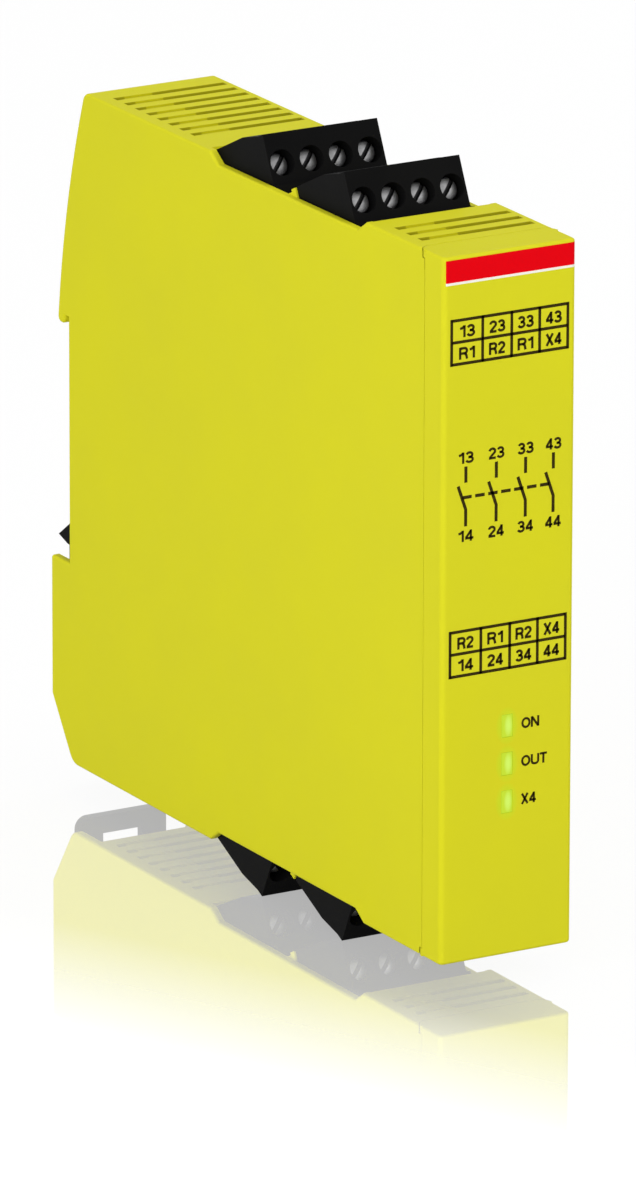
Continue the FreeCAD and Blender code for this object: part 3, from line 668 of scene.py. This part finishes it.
# A tree that repeats its input in a straight row: table rules, dashes, solder joints
def repeatTree():
    inputs = [("Piece", "Geometry"), ("Count", "Int"), ("Step", "Vector")]
    tree, given = startTree("repeatInRow", inputs, "Row")
    line = tree.nodes.new("GeometryNodeMeshLine")
    place = tree.nodes.new("GeometryNodeInstanceOnPoints")
    link = tree.links.new
    link(given["Count"], line.inputs["Count"])
    link(given["Step"], line.inputs["Offset"])
    link(line.outputs["Mesh"], place.inputs["Points"])
    link(given["Piece"], place.inputs["Instance"])
    return endTree(tree, given, place.outputs["Instances"], "Row")


repeatInRow = repeatTree()


def socketNames(tree):
    return {item.name: item.identifier for item in tree.interface.items_tree if item.in_out == "INPUT"}


def runTree(name, mesh, tree, values):
    source = bpy.data.objects.new(name + "Source", mesh)
    bpy.context.scene.collection.objects.link(source)
    modifier = source.modifiers.new("nodes", "NODES")
    modifier.node_group = tree
    names = socketNames(tree)
    for key, value in values.items():
        modifier[names[key]] = value
    return plainMesh(source)


def repeated(name, mesh, count, step, material):
    return runTree(name, mesh, repeatInRow, {"Count": count, "Step": step, "Finish": material})


def joinMeshes(name, meshes):
    work = bmesh.new()
    for mesh in meshes:
        work.from_mesh(mesh)
    joined = bpy.data.meshes.new(name)
    work.to_mesh(joined)
    work.free()
    return joined


# Points on an arc, angles in degrees from the right, anticlockwise
def arcPoints(centreX, centreZ, radiusX, radiusZ, start, end, steps=10):
    angles = [math.radians(start + (end - start) * i / steps) for i in range(steps + 1)]
    return [(centreX + radiusX * math.cos(a), centreZ + radiusZ * math.sin(a)) for a in angles]


# Bold plain letters: width, then the middle lines of their strokes in a cell one unit high
letters = {
    "1": (0.46, [[(0.36, 0.0), (0.36, 1.0)], [(0.07, 0.74), (0.20, 0.77), (0.30, 0.85), (0.35, 0.96)]]),
    "2": (0.60, [
        arcPoints(0.30, 0.69, 0.21, 0.225, 175, -25) + [(0.12, 0.14)],
        [(0.05, 0.085), (0.56, 0.085)],
    ]),
    "3": (0.60, [
        arcPoints(0.29, 0.71, 0.19, 0.205, 165, -90) + [(0.22, 0.505)],
        [(0.22, 0.515)] + arcPoints(0.29, 0.30, 0.22, 0.215, 90, -165),
    ]),
    "4": (0.60, [[(0.41, 0.0), (0.41, 1.0)], [(0.42, 0.93), (0.08, 0.31)], [(0.03, 0.27), (0.58, 0.27)]]),
    "R": (0.66, [
        [(0.085, 0.0), (0.085, 1.0)],
        [(0.09, 0.915)] + arcPoints(0.38, 0.70, 0.18, 0.215, 90, -90) + [(0.09, 0.485)],
        [(0.37, 0.485), (0.49, 0.40), (0.53, 0.26), (0.57, 0.0)],
    ]),
    "X": (0.66, [[(0.09, 0.0), (0.57, 1.0)], [(0.57, 0.0), (0.09, 1.0)]]),
    "O": (0.76, [arcPoints(0.38, 0.50, 0.295, 0.415, 0, 350, 22) + [(0.675, 0.50)]]),
    "N": (0.70, [[(0.085, 0.0), (0.085, 1.0)], [(0.10, 0.96), (0.60, 0.04)], [(0.615, 0.0), (0.615, 1.0)]]),
    "U": (0.70, [
        [(0.085, 1.0), (0.085, 0.36)]
        + arcPoints(0.35, 0.34, 0.265, 0.255, 180, 360)
        + [(0.615, 0.36), (0.615, 1.0)],
    ]),
    "T": (0.62, [[(0.02, 0.915), (0.60, 0.915)], [(0.31, 0.90), (0.31, 0.0)]]),
}


# A word as thin plates of ink: its letters fill the given height and width around a place
def wordMesh(text, centreX, centreZ, height, width):
    total = sum(letters[letter][0] for letter in text) + ink["letterGap"] * (len(text) - 1)

    def build(work):
        along = 0.0
        for letter in text:
            advance, strokes = letters[letter]
            for stroke in strokes:
                points = []
                for x, z in stroke:
                    placeX = centreX + ((along + x) / total - 0.5) * width
                    points.append((placeX, centreZ + (z - 0.5) * height))
                inkRibbon(work, points, ink["weight"] * height)
            along += advance + ink["letterGap"]

    return meshFrom("word", build)


meshPiece("redBand", bandMesh("redBand", band["redLow"], band["redHigh"]), redInk)
meshPiece("whiteBand", bandMesh("whiteBand", band["whiteLow"], band["redLow"]), whiteInk)
print("print: bands")


def tableMesh(name, table):
    low = table["low"] * mm
    high = table["high"] * mm
    half = tableSize["halfWidth"]
    rows = len(table["rows"])
    rowStep = (high - low) / rows
    uprights = [-half + 2 * half * share for share in tableSize["columnShares"]]
    over = ink["line"] / 2

    def drawUprights(work):
        for x in uprights:
            inkRibbon(work, [(x, low - over), (x, high + over)], ink["line"])

    level = meshFrom("level", lambda work: inkRibbon(work, [(-half, low), (half, low)], ink["line"]))
    parts = [
        meshFrom("uprights", drawUprights),
        repeated("levels", level, rows + 1, (0, 0, rowStep), darkInk),
    ]
    for row, words in enumerate(table["rows"]):
        for column, word in enumerate(words):
            x = (uprights[column] + uprights[column + 1]) / 2
            z = high - (row + 0.5) * rowStep - tableSize["digitDrop"]
            parts.append(wordMesh(word, x, z, tableSize["digitHeight"], tableSize["digitWidth"]))
    return joinMeshes(name, parts)


for name, table in tables.items():
    meshPiece(name, tableMesh(name, table), darkInk)
print("print: tables")


# The normally open contacts: a stub above, and a blade that runs on into a stub below
def contactSymbols(work):
    for x in diagram["columns"]:
        tip = (x + diagram["bladeTip"][0], diagram["bladeTip"][1])
        inkRibbon(work, [(x, diagram["upper"][0]), (x, diagram["upper"][1])], diagram["line"])
        inkRibbon(work, [tip, (x, diagram["bladeFoot"]), (x, diagram["lower"])], diagram["line"])


def dash(work):
    start = diagram["dashStart"]
    level = diagram["dashLevel"]
    inkRibbon(work, [(start, level), (start + diagram["dashLength"], level)], diagram["line"])


parts = [
    meshFrom("contacts", contactSymbols),
    repeated("dashes", meshFrom("dash", dash), diagram["dashCount"], (diagram["dashPitch"], 0, 0), darkInk),
]
for index, x in enumerate(diagram["columns"]):
    height = diagram["digitHeight"]
    width = diagram["digitWidth"]
    parts.append(wordMesh(f"{index + 1}3", x, diagram["upperDigits"], height, width))
    parts.append(wordMesh(f"{index + 1}4", x, diagram["lowerDigits"], height, width))
meshPiece("contactDiagram", joinMeshes("contactDiagram", parts), darkInk)

parts = []
for (word, width), level in zip(lampWords["words"], lampLevels):
    centre = lampWords["left"] + width * mm / 2
    parts.append(wordMesh(word, centre, level * mm, lampWords["height"], width * mm))
meshPiece("lampWords", joinMeshes("lampWords", parts), darkInk)
print("print: diagram and lamp words")


# Slotted clamp screws

screw = {
    "headRadius": 1.75 * mm,
    "headHeight": 1.6 * mm,
    "chamfer": 0.22 * mm,
    "dome": 0.26 * mm,
    "faceRings": (0.15, 0.4, 0.6, 0.8, 1.0),  # shares of the flat face, from its middle
    "relief": 0.1 * mm,  # small bevel under the head
    "rootRadius": 1.08 * mm,
    "threadRadius": 1.245 * mm,
    "pitch": 0.5 * mm,
    "shankLength": 5.4 * mm,
    "plainEnd": 0.3 * mm,  # shank left plain at each end of the thread
    "tip": 0.2 * mm,
    "slotWidth": 0.70 * mm,
    "slotDepth": 0.9 * mm,
    "slotTurn": 41.0,
    "slotMargin": 0.01 * mm,
    "sides": 64,
    "threadSteps": 24,
}


def lathe(work, profile, sides):
    rings = []
    for radius, along in profile:
        ring = []
        for i in range(sides):
            angle = 2 * math.pi * i / sides
            ring.append(work.verts.new((radius * math.cos(angle), along, radius * math.sin(angle))))
        rings.append(ring)
    skinRings(work, rings)


# Head and plain core, along +Y from the head's face
def screwBlank(work):
    r = screw["headRadius"]
    core = screw["rootRadius"]
    neck = screw["headHeight"]
    end = neck + screw["shankLength"]
    face = r - screw["chamfer"]
    relief = screw["relief"]
    tip = screw["tip"]
    profile = [(face * share, screw["dome"] * share ** 2) for share in screw["faceRings"]]
    profile += [
        (r, screw["dome"] + screw["chamfer"]), (r, neck - relief), (r - relief, neck),
        (core, neck), (core, end - tip), (core - tip, end),
    ]
    lathe(work, profile, screw["sides"])


def slotCutter(work):
    reach = 2 * screw["headRadius"] + 1 * mm  # past the head on both sides
    addBlock(work, (screw["slotWidth"], 2 * screw["slotDepth"], reach))


# A tree that winds a V ridge round a plain screw
def threadTree():
    inputs = [("Blank", "Geometry"), ("Core Radius", "Float"), ("Ridge", "Float"), ("Turns", "Float")]
    inputs += [("Length", "Float"), ("Start", "Vector")]
    tree, given = startTree("threadOnShank", inputs, "Screw")
    spiral = tree.nodes.new("GeometryNodeCurveSpiral")
    spiral.inputs["Resolution"].default_value = screw["threadSteps"]
    stand = tree.nodes.new("GeometryNodeTransform")
    stand.inputs["Rotation"].default_value = (math.radians(-90), 0, 0)
    ridge = tree.nodes.new("GeometryNodeCurvePrimitiveCircle")
    ridge.inputs["Resolution"].default_value = 4
    both = tree.nodes.new("GeometryNodeJoinGeometry")
    link = tree.links.new
    link(given["Turns"], spiral.inputs["Rotations"])
    link(given["Core Radius"], spiral.inputs["Start Radius"])
    link(given["Core Radius"], spiral.inputs["End Radius"])
    link(given["Length"], spiral.inputs["Height"])
    link(spiral.outputs["Curve"], stand.inputs["Geometry"])
    link(given["Start"], stand.inputs["Translation"])
    link(given["Ridge"], ridge.inputs["Radius"])
    link(sweepAlong(tree, stand.outputs["Geometry"], ridge.outputs["Curve"]), both.inputs["Geometry"])
    link(given["Blank"], both.inputs["Geometry"])
    return endTree(tree, given, both.outputs["Geometry"], "Screw")


# Marks the faces of the screwdriver slot, where the steel gets a painted shade
def markSlotShade(mesh):
    marks = mesh.attributes.new("inSlot", "FLOAT", "FACE")
    back = Matrix.Rotation(math.radians(-screw["slotTurn"]), 4, "Y")
    half = 0.5 * screw["slotWidth"] + screw["slotMargin"]
    floor = screw["slotDepth"] + screw["slotMargin"]
    for face in mesh.polygons:
        centre = back @ face.center
        marks.data[face.index].value = 1.0 if abs(centre.x) < half and centre.y < floor else 0.0


def cutSlot(blank):
    cutterMesh = meshFrom("slotCutter", slotCutter)
    cutterMesh.transform(Matrix.Rotation(math.radians(screw["slotTurn"]), 4, "Y"))
    cutter = bpy.data.objects.new("slotCutter", cutterMesh)
    source = bpy.data.objects.new("screwBlank", blank)
    for item in (cutter, source):
        bpy.context.scene.collection.objects.link(item)
    cut = source.modifiers.new("slot", "BOOLEAN")
    cut.object = cutter
    cut.operation = "DIFFERENCE"
    cut.solver = "EXACT"
    mesh = plainMesh(source)
    bpy.data.objects.remove(cutter)
    markSlotShade(mesh)
    return mesh


def threadedScrew():
    blank = cutSlot(meshFrom("screwBlank", screwBlank))
    length = screw["shankLength"] - 2 * screw["plainEnd"]
    return runTree("clampScrew", blank, threadTree(), {
        "Core Radius": screw["rootRadius"],
        "Ridge": screw["threadRadius"] - screw["rootRadius"],
        "Turns": length / screw["pitch"],
        "Length": length,
        "Start": (0, screw["headHeight"] + screw["plainEnd"], 0),
        "Finish": metals["screwSteel"],
    })


screwMesh = threadedScrew()
for joint in frame["joints"]:
    if joint["type"] != "hinge":
        continue
    body = joint["child"]
    along = Vector(joint["axis"])
    across = Vector((1, 0, 0))
    upward = across.cross(along)
    place = Matrix((across, along, upward)).transposed().to_4x4()
    turn = Matrix.Identity(4)
    if along.z > 0:
        turn = Matrix.Rotation(math.radians(-2 * screw["slotTurn"]), 4, "Y")
    mesh = screwMesh.copy()
    mesh.transform(Matrix.Translation(joint["pos_m"]) @ place @ turn)
    name = "clampScrew" + body[len("screw"):].title().replace("_", "")
    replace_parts(meshPiece(name, mesh, metals["screwSteel"], body), body)


# Latch spring with a closed coil at each end

coil = {
    "wireRadius": 0.35 * mm,
    "turns": 6.5,
    "closedTurns": 1.0,
    "closedPitch": 0.72 * mm,
    "steps": 28,
    "sides": 10,
}
coilLow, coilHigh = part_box("latch_spring")
coilLength = coilHigh.z - coilLow.z


# A tree that winds a round wire into a spring: a flat spiral, lifted in three stretches along its length
def coilTree():
    sizes = ["Radius", "Wire Radius", "Turns", "Closed Share", "Closed Rise", "Open Rise"]
    inputs = [("Carrier", "Geometry")] + [(label, "Float") for label in sizes] + [("Start", "Vector")]
    tree, given = startTree("closedCoil", inputs, "Spring")
    spiral = tree.nodes.new("GeometryNodeCurveSpiral")
    spiral.inputs["Resolution"].default_value = coil["steps"]
    spiral.inputs["Height"].default_value = 0.0
    along = tree.nodes.new("GeometryNodeSplineParameter").outputs["Factor"]
    share = given["Closed Share"]
    lastShare = addMath(tree, "SUBTRACT", 1.0, share)
    level = 0.0
    stretches = [(0.0, share, "Closed Rise"), (share, lastShare, "Open Rise")]
    stretches.append((lastShare, 1.0, "Closed Rise"))
    for low, high, rise in stretches:
        level = addMath(tree, "ADD", addRange(tree, along, 0.0, given[rise], low, high), level)
    lift = tree.nodes.new("ShaderNodeCombineXYZ")
    raised = tree.nodes.new("GeometryNodeSetPosition")
    stand = tree.nodes.new("GeometryNodeTransform")
    wire = tree.nodes.new("GeometryNodeCurvePrimitiveCircle")
    wire.inputs["Resolution"].default_value = coil["sides"]
    link = tree.links.new
    link(given["Turns"], spiral.inputs["Rotations"])
    link(given["Radius"], spiral.inputs["Start Radius"])
    link(given["Radius"], spiral.inputs["End Radius"])
    link(level, lift.inputs["Z"])
    link(spiral.outputs["Curve"], raised.inputs["Geometry"])
    link(lift.outputs["Vector"], raised.inputs["Offset"])
    link(raised.outputs["Geometry"], stand.inputs["Geometry"])
    link(given["Start"], stand.inputs["Translation"])
    link(given["Wire Radius"], wire.inputs["Radius"])
    spring = sweepAlong(tree, stand.outputs["Geometry"], wire.outputs["Curve"])
    return endTree(tree, given, spring, "Spring")


wireRadius = coil["wireRadius"]
closedRise = coil["closedTurns"] * coil["closedPitch"]
coilMesh = runTree("latchSpringWire", bpy.data.meshes.new("coilCarrier"), coilTree(), {
    "Radius": 0.5 * (coilHigh.y - coilLow.y) - wireRadius,
    "Wire Radius": wireRadius,
    "Turns": coil["turns"],
    "Closed Share": coil["closedTurns"] / coil["turns"],
    "Closed Rise": closedRise,
    "Open Rise": coilLength - 2 * wireRadius - 2 * closedRise,
    "Start": (0.5 * (coilLow.x + coilHigh.x), 0.5 * (coilLow.y + coilHigh.y), coilLow.z + wireRadius),
    "Finish": metals["springSteel"],
})
coilPiece = meshPiece("latchSpringWire", coilMesh, metals["springSteel"])
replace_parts(coilPiece, "latch_spring")
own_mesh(coilPiece)


# Solder joints and small parts on the board

solder = {
    "face": 6.6 * mm,
    "reach": 1.02 * mm,
    "foot": 0.95 * mm,
    "waist": (0.62, 0.22 * mm),  # share of the foot, height
    "neck": (1.5, 0.6 * mm),  # share of the tip, height
    "tip": 0.30 * mm,
    "sides": 14,
    "count": 4,
    "ridges": [31.3, 55.4],
    "pinBack": 9.85 * mm,
    "firstDepth": 26.2 * mm,
    "depthStep": 1.2 * mm,
    "lean": 25.3,
}
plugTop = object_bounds()[1].z
middle = plugTop / 2


def solderCone(work):
    waist, waistLevel = solder["waist"]
    neck, neckLevel = solder["neck"]
    profile = [
        (solder["foot"], 0), (solder["foot"] * waist, waistLevel),
        (solder["tip"] * neck, neckLevel), (solder["tip"], solder["reach"]),
    ]
    lathe(work, profile, solder["sides"])


def solderRow(ridge, below):
    lean = math.radians(solder["lean"])
    depth = solder["firstDepth"]
    y = cap["front"] + ridge * mm + solder["pinBack"] * math.cos(lean) - depth * math.sin(lean)
    z = plugTop - solder["pinBack"] * math.sin(lean) - depth * math.cos(lean)
    stepY = -solder["depthStep"] * math.sin(lean)
    stepZ = -solder["depthStep"] * math.cos(lean)
    if below:
        z = 2 * middle - z
        stepZ = -stepZ
    cone = meshFrom("solder", solderCone)
    cone.transform(Matrix.Translation((solder["face"], y, z)) @ Matrix.Rotation(math.radians(-90), 4, "Z"))
    return repeated("solderRow", cone, solder["count"], (0, stepY, stepZ), metals["solderTin"])


rows = [solderRow(ridge, below) for ridge in solder["ridges"] for below in (False, True)]
meshPiece("solderJoints", joinMeshes("solderJoints", rows), metals["solderTin"], "housing")

chips = {
    "face": 6.6 * mm,
    "size": (0.55 * mm, 2.0 * mm, 1.25 * mm),
    "columns": 6,
    "rows": 9,
    "start": (20.0, 34.0),
    "step": (7.2, 6.0),
    "bevel": 0.06 * mm,
    "fill": 0.6,  # share of the places that hold a part
    "seed": 7,
}


def chipBody(work):
    addBlock(work, chips["size"])
    bmesh.ops.bevel(work, geom=list(work.edges), offset=chips["bevel"], segments=1, affect="EDGES")


# A tree that sets its input on a grid of places and leaves some of them empty
def gridTree():
    inputs = [("Part", "Geometry"), ("Length", "Float"), ("Height", "Float")]
    inputs += [("Columns", "Int"), ("Rows", "Int"), ("Fill", "Float"), ("Seed", "Int")]
    tree, given = startTree("partsOnBoard", inputs, "Parts")
    grid = tree.nodes.new("GeometryNodeMeshGrid")
    stand = tree.nodes.new("GeometryNodeTransform")
    stand.inputs["Rotation"].default_value = (math.radians(90), 0, math.radians(90))
    chance = tree.nodes.new("FunctionNodeRandomValue")
    chance.data_type = "BOOLEAN"
    place = tree.nodes.new("GeometryNodeInstanceOnPoints")
    link = tree.links.new
    link(given["Length"], grid.inputs["Size X"])
    link(given["Height"], grid.inputs["Size Y"])
    link(given["Columns"], grid.inputs["Vertices X"])
    link(given["Rows"], grid.inputs["Vertices Y"])
    link(given["Fill"], chance.inputs["Probability"])
    link(given["Seed"], chance.inputs["Seed"])
    link(grid.outputs["Mesh"], stand.inputs["Geometry"])
    link(stand.outputs["Geometry"], place.inputs["Points"])
    link(chance.outputs[3], place.inputs["Selection"])
    link(given["Part"], place.inputs["Instance"])
    return endTree(tree, given, place.outputs["Instances"], "Parts")


def smallParts():
    length = (chips["columns"] - 1) * chips["step"][0] * mm
    height = (chips["rows"] - 1) * chips["step"][1] * mm
    mesh = runTree("smallParts", meshFrom("chip", chipBody), gridTree(), {
        "Length": length, "Height": height, "Columns": chips["columns"], "Rows": chips["rows"],
        "Fill": chips["fill"], "Seed": chips["seed"], "Finish": blackPlastic,
    })
    y = cap["front"] + chips["start"][0] * mm + length / 2
    z = cap["bottom"] + chips["start"][1] * mm + height / 2
    mesh.transform(Matrix.Translation((chips["face"] + chips["size"][0] / 2, y, z)))
    return mesh


meshPiece("smallParts", smallParts(), blackPlastic, "housing")
print("board: solder joints and small parts")


# Camera, floor and light

view = {
    "place": (-0.921509, -1.601666, 0.613034),
    "azimuth": -29.9695,
    "elevation": 17.1082,
    "roll": 0.1248,
    "lens": 385.35,
    "sensor": 36.0,
    "near": 0.05,
    "far": 20.0,
}


def addCamera():
    data = bpy.data.cameras.new("photoCamera")
    data.sensor_fit = "VERTICAL"
    data.sensor_height = view["sensor"]
    data.lens = view["lens"]
    data.clip_start = view["near"]
    data.clip_end = view["far"]
    camera = bpy.data.objects.new("photoCamera", data)
    turn = Matrix.Rotation(math.radians(view["azimuth"]), 4, "Z")
    tilt = Matrix.Rotation(math.radians(90 - view["elevation"]), 4, "X")
    roll = Matrix.Rotation(math.radians(view["roll"]), 4, "Z")
    camera.matrix_world = Matrix.Translation(view["place"]) @ turn @ tilt @ roll
    bpy.context.scene.collection.objects.link(camera)
    bpy.context.scene.camera = camera


addCamera()

floorLook = {
    "size": 4.0,
    "paper": 0.16,  # keeps the object's shadow
    "glow": 0.92,
    "cover": 0.54,  # how much of the white the mirror image hides at full strength
    "mirror": 0.63,
    "mirrorRough": 0.01,
    "fade": (22.13, 10.57, 1.92),  # strength across the floor: X, Y and start
    "bounce": 0.55,  # the floor's tone as the object's plastics see it
}


# White studio floor with a mirror image that fades out towards the camera
def floorMaterial():
    material = bpy.data.materials.new("studioFloor")
    material.use_nodes = True
    tree = material.node_tree
    tree.nodes.clear()
    link = tree.links.new
    out = tree.nodes.new("ShaderNodeOutputMaterial")
    path = tree.nodes.new("ShaderNodeLightPath")
    place = tree.nodes.new("ShaderNodeTexCoord").outputs["Object"]
    seen = addMath(tree, "MAXIMUM", path.outputs["Is Camera Ray"], path.outputs["Is Glossy Ray"])
    seen = addMath(tree, "MAXIMUM", seen, path.outputs["Is Transmission Ray"])
    split = tree.nodes.new("ShaderNodeSeparateXYZ")
    link(place, split.inputs[0])
    fadeX, fadeY, fadeStart = floorLook["fade"]
    strength = addMath(tree, "MULTIPLY", split.outputs["X"], fadeX)
    strength = addMath(tree, "ADD", strength, addMath(tree, "MULTIPLY", split.outputs["Y"], fadeY))
    strength = addMath(tree, "ADD", strength, fadeStart)
    strength = addRange(tree, strength, 0.0, 1.0)
    paper = tree.nodes.new("ShaderNodeBsdfDiffuse")
    paper.inputs["Color"].default_value = shade(3 * [floorLook["paper"]])
    glow = tree.nodes.new("ShaderNodeEmission")
    glow.inputs["Strength"].default_value = floorLook["glow"]
    white = tree.nodes.new("ShaderNodeAddShader")
    link(paper.outputs[0], white.inputs[0])
    link(glow.outputs[0], white.inputs[1])
    dark = tree.nodes.new("ShaderNodeEmission")
    dark.inputs["Strength"].default_value = 0.0
    shown = tree.nodes.new("ShaderNodeMixShader")
    link(addMath(tree, "MULTIPLY", strength, floorLook["cover"]), shown.inputs[0])
    link(white.outputs[0], shown.inputs[1])
    link(dark.outputs[0], shown.inputs[2])
    mirror = tree.nodes.new("ShaderNodeBsdfGlossy")
    mirror.inputs["Roughness"].default_value = floorLook["mirrorRough"]
    tone = tree.nodes.new("ShaderNodeCombineXYZ")
    share = addMath(tree, "MULTIPLY", strength, floorLook["mirror"])
    for axis in range(3):
        link(share, tone.inputs[axis])
    link(tone.outputs[0], mirror.inputs["Color"])
    both = tree.nodes.new("ShaderNodeAddShader")
    link(shown.outputs[0], both.inputs[0])
    link(mirror.outputs[0], both.inputs[1])
    plain = tree.nodes.new("ShaderNodeBsdfDiffuse")
    plain.inputs["Color"].default_value = shade(3 * [floorLook["bounce"]])
    pick = tree.nodes.new("ShaderNodeMixShader")
    link(seen, pick.inputs[0])
    link(plain.outputs[0], pick.inputs[1])
    link(both.outputs[0], pick.inputs[2])
    link(pick.outputs[0], out.inputs["Surface"])
    return material


def addFloor():
    half = floorLook["size"] / 2
    mesh = bpy.data.meshes.new("studioFloor")
    corners = [(-half, -half, 0), (half, -half, 0), (half, half, 0), (-half, half, 0)]
    mesh.from_pydata(corners, [], [(0, 1, 2, 3)])
    floor = bpy.data.objects.new("studioFloor", mesh)
    bpy.context.scene.collection.objects.link(floor)
    mesh.materials.append(floorMaterial())


addFloor()

studio = {
    "target": (0, 0, 0.055),  # what the lamps face
    "horizonStrength": 0.76,
    "zenithStrength": 0.72,
    "lamps": [
        {"name": "keyPanel", "place": (-0.90, -0.58, 0.30), "size": 0.9, "power": 8.5},
        {"name": "fillPanel", "place": (0.45, -0.95, 0.45), "size": 0.9, "power": 2.6},
        {"name": "farPanel", "place": (0.95, 0.30, 0.40), "size": 0.9, "power": 3.5},
        {"name": "topPanel", "place": (0.05, 0.15, 1.10), "size": 0.8, "power": 1.3},
    ],
}


def addWorld():
    world = bpy.data.worlds.new("studioWorld")
    bpy.context.scene.world = world
    world.use_nodes = True
    tree = world.node_tree
    tree.nodes.clear()
    link = tree.links.new
    out = tree.nodes.new("ShaderNodeOutputWorld")
    path = tree.nodes.new("ShaderNodeLightPath")
    seen = addMath(tree, "MAXIMUM", path.outputs["Is Camera Ray"], path.outputs["Is Transmission Ray"])
    room = tree.nodes.new("ShaderNodeBackground")
    heading = tree.nodes.new("ShaderNodeSeparateXYZ")
    link(tree.nodes.new("ShaderNodeTexCoord").outputs["Generated"], heading.inputs[0])
    diffuse = addRange(tree, heading.outputs["Z"], studio["horizonStrength"], studio["zenithStrength"])
    strength = addMath(tree, "MAXIMUM", diffuse, path.outputs["Is Glossy Ray"])
    link(strength, room.inputs["Strength"])
    white = tree.nodes.new("ShaderNodeBackground")
    white.inputs["Strength"].default_value = 1.0
    pick = tree.nodes.new("ShaderNodeMixShader")
    link(seen, pick.inputs[0])
    link(room.outputs[0], pick.inputs[1])
    link(white.outputs[0], pick.inputs[2])
    link(pick.outputs[0], out.inputs["Surface"])


def addLamps():
    target = Vector(studio["target"])
    for lamp in studio["lamps"]:
        data = bpy.data.lights.new(lamp["name"], "AREA")
        data.size = lamp["size"]
        data.energy = lamp["power"]
        light = bpy.data.objects.new(lamp["name"], data)
        light.location = lamp["place"]
        aim = target - Vector(lamp["place"])
        light.rotation_euler = aim.to_track_quat("-Z", "Y").to_euler()
        bpy.context.scene.collection.objects.link(light)


addWorld()
addLamps()
bpy.context.scene.view_settings.view_transform = "Standard"
print("camera, floor and light")
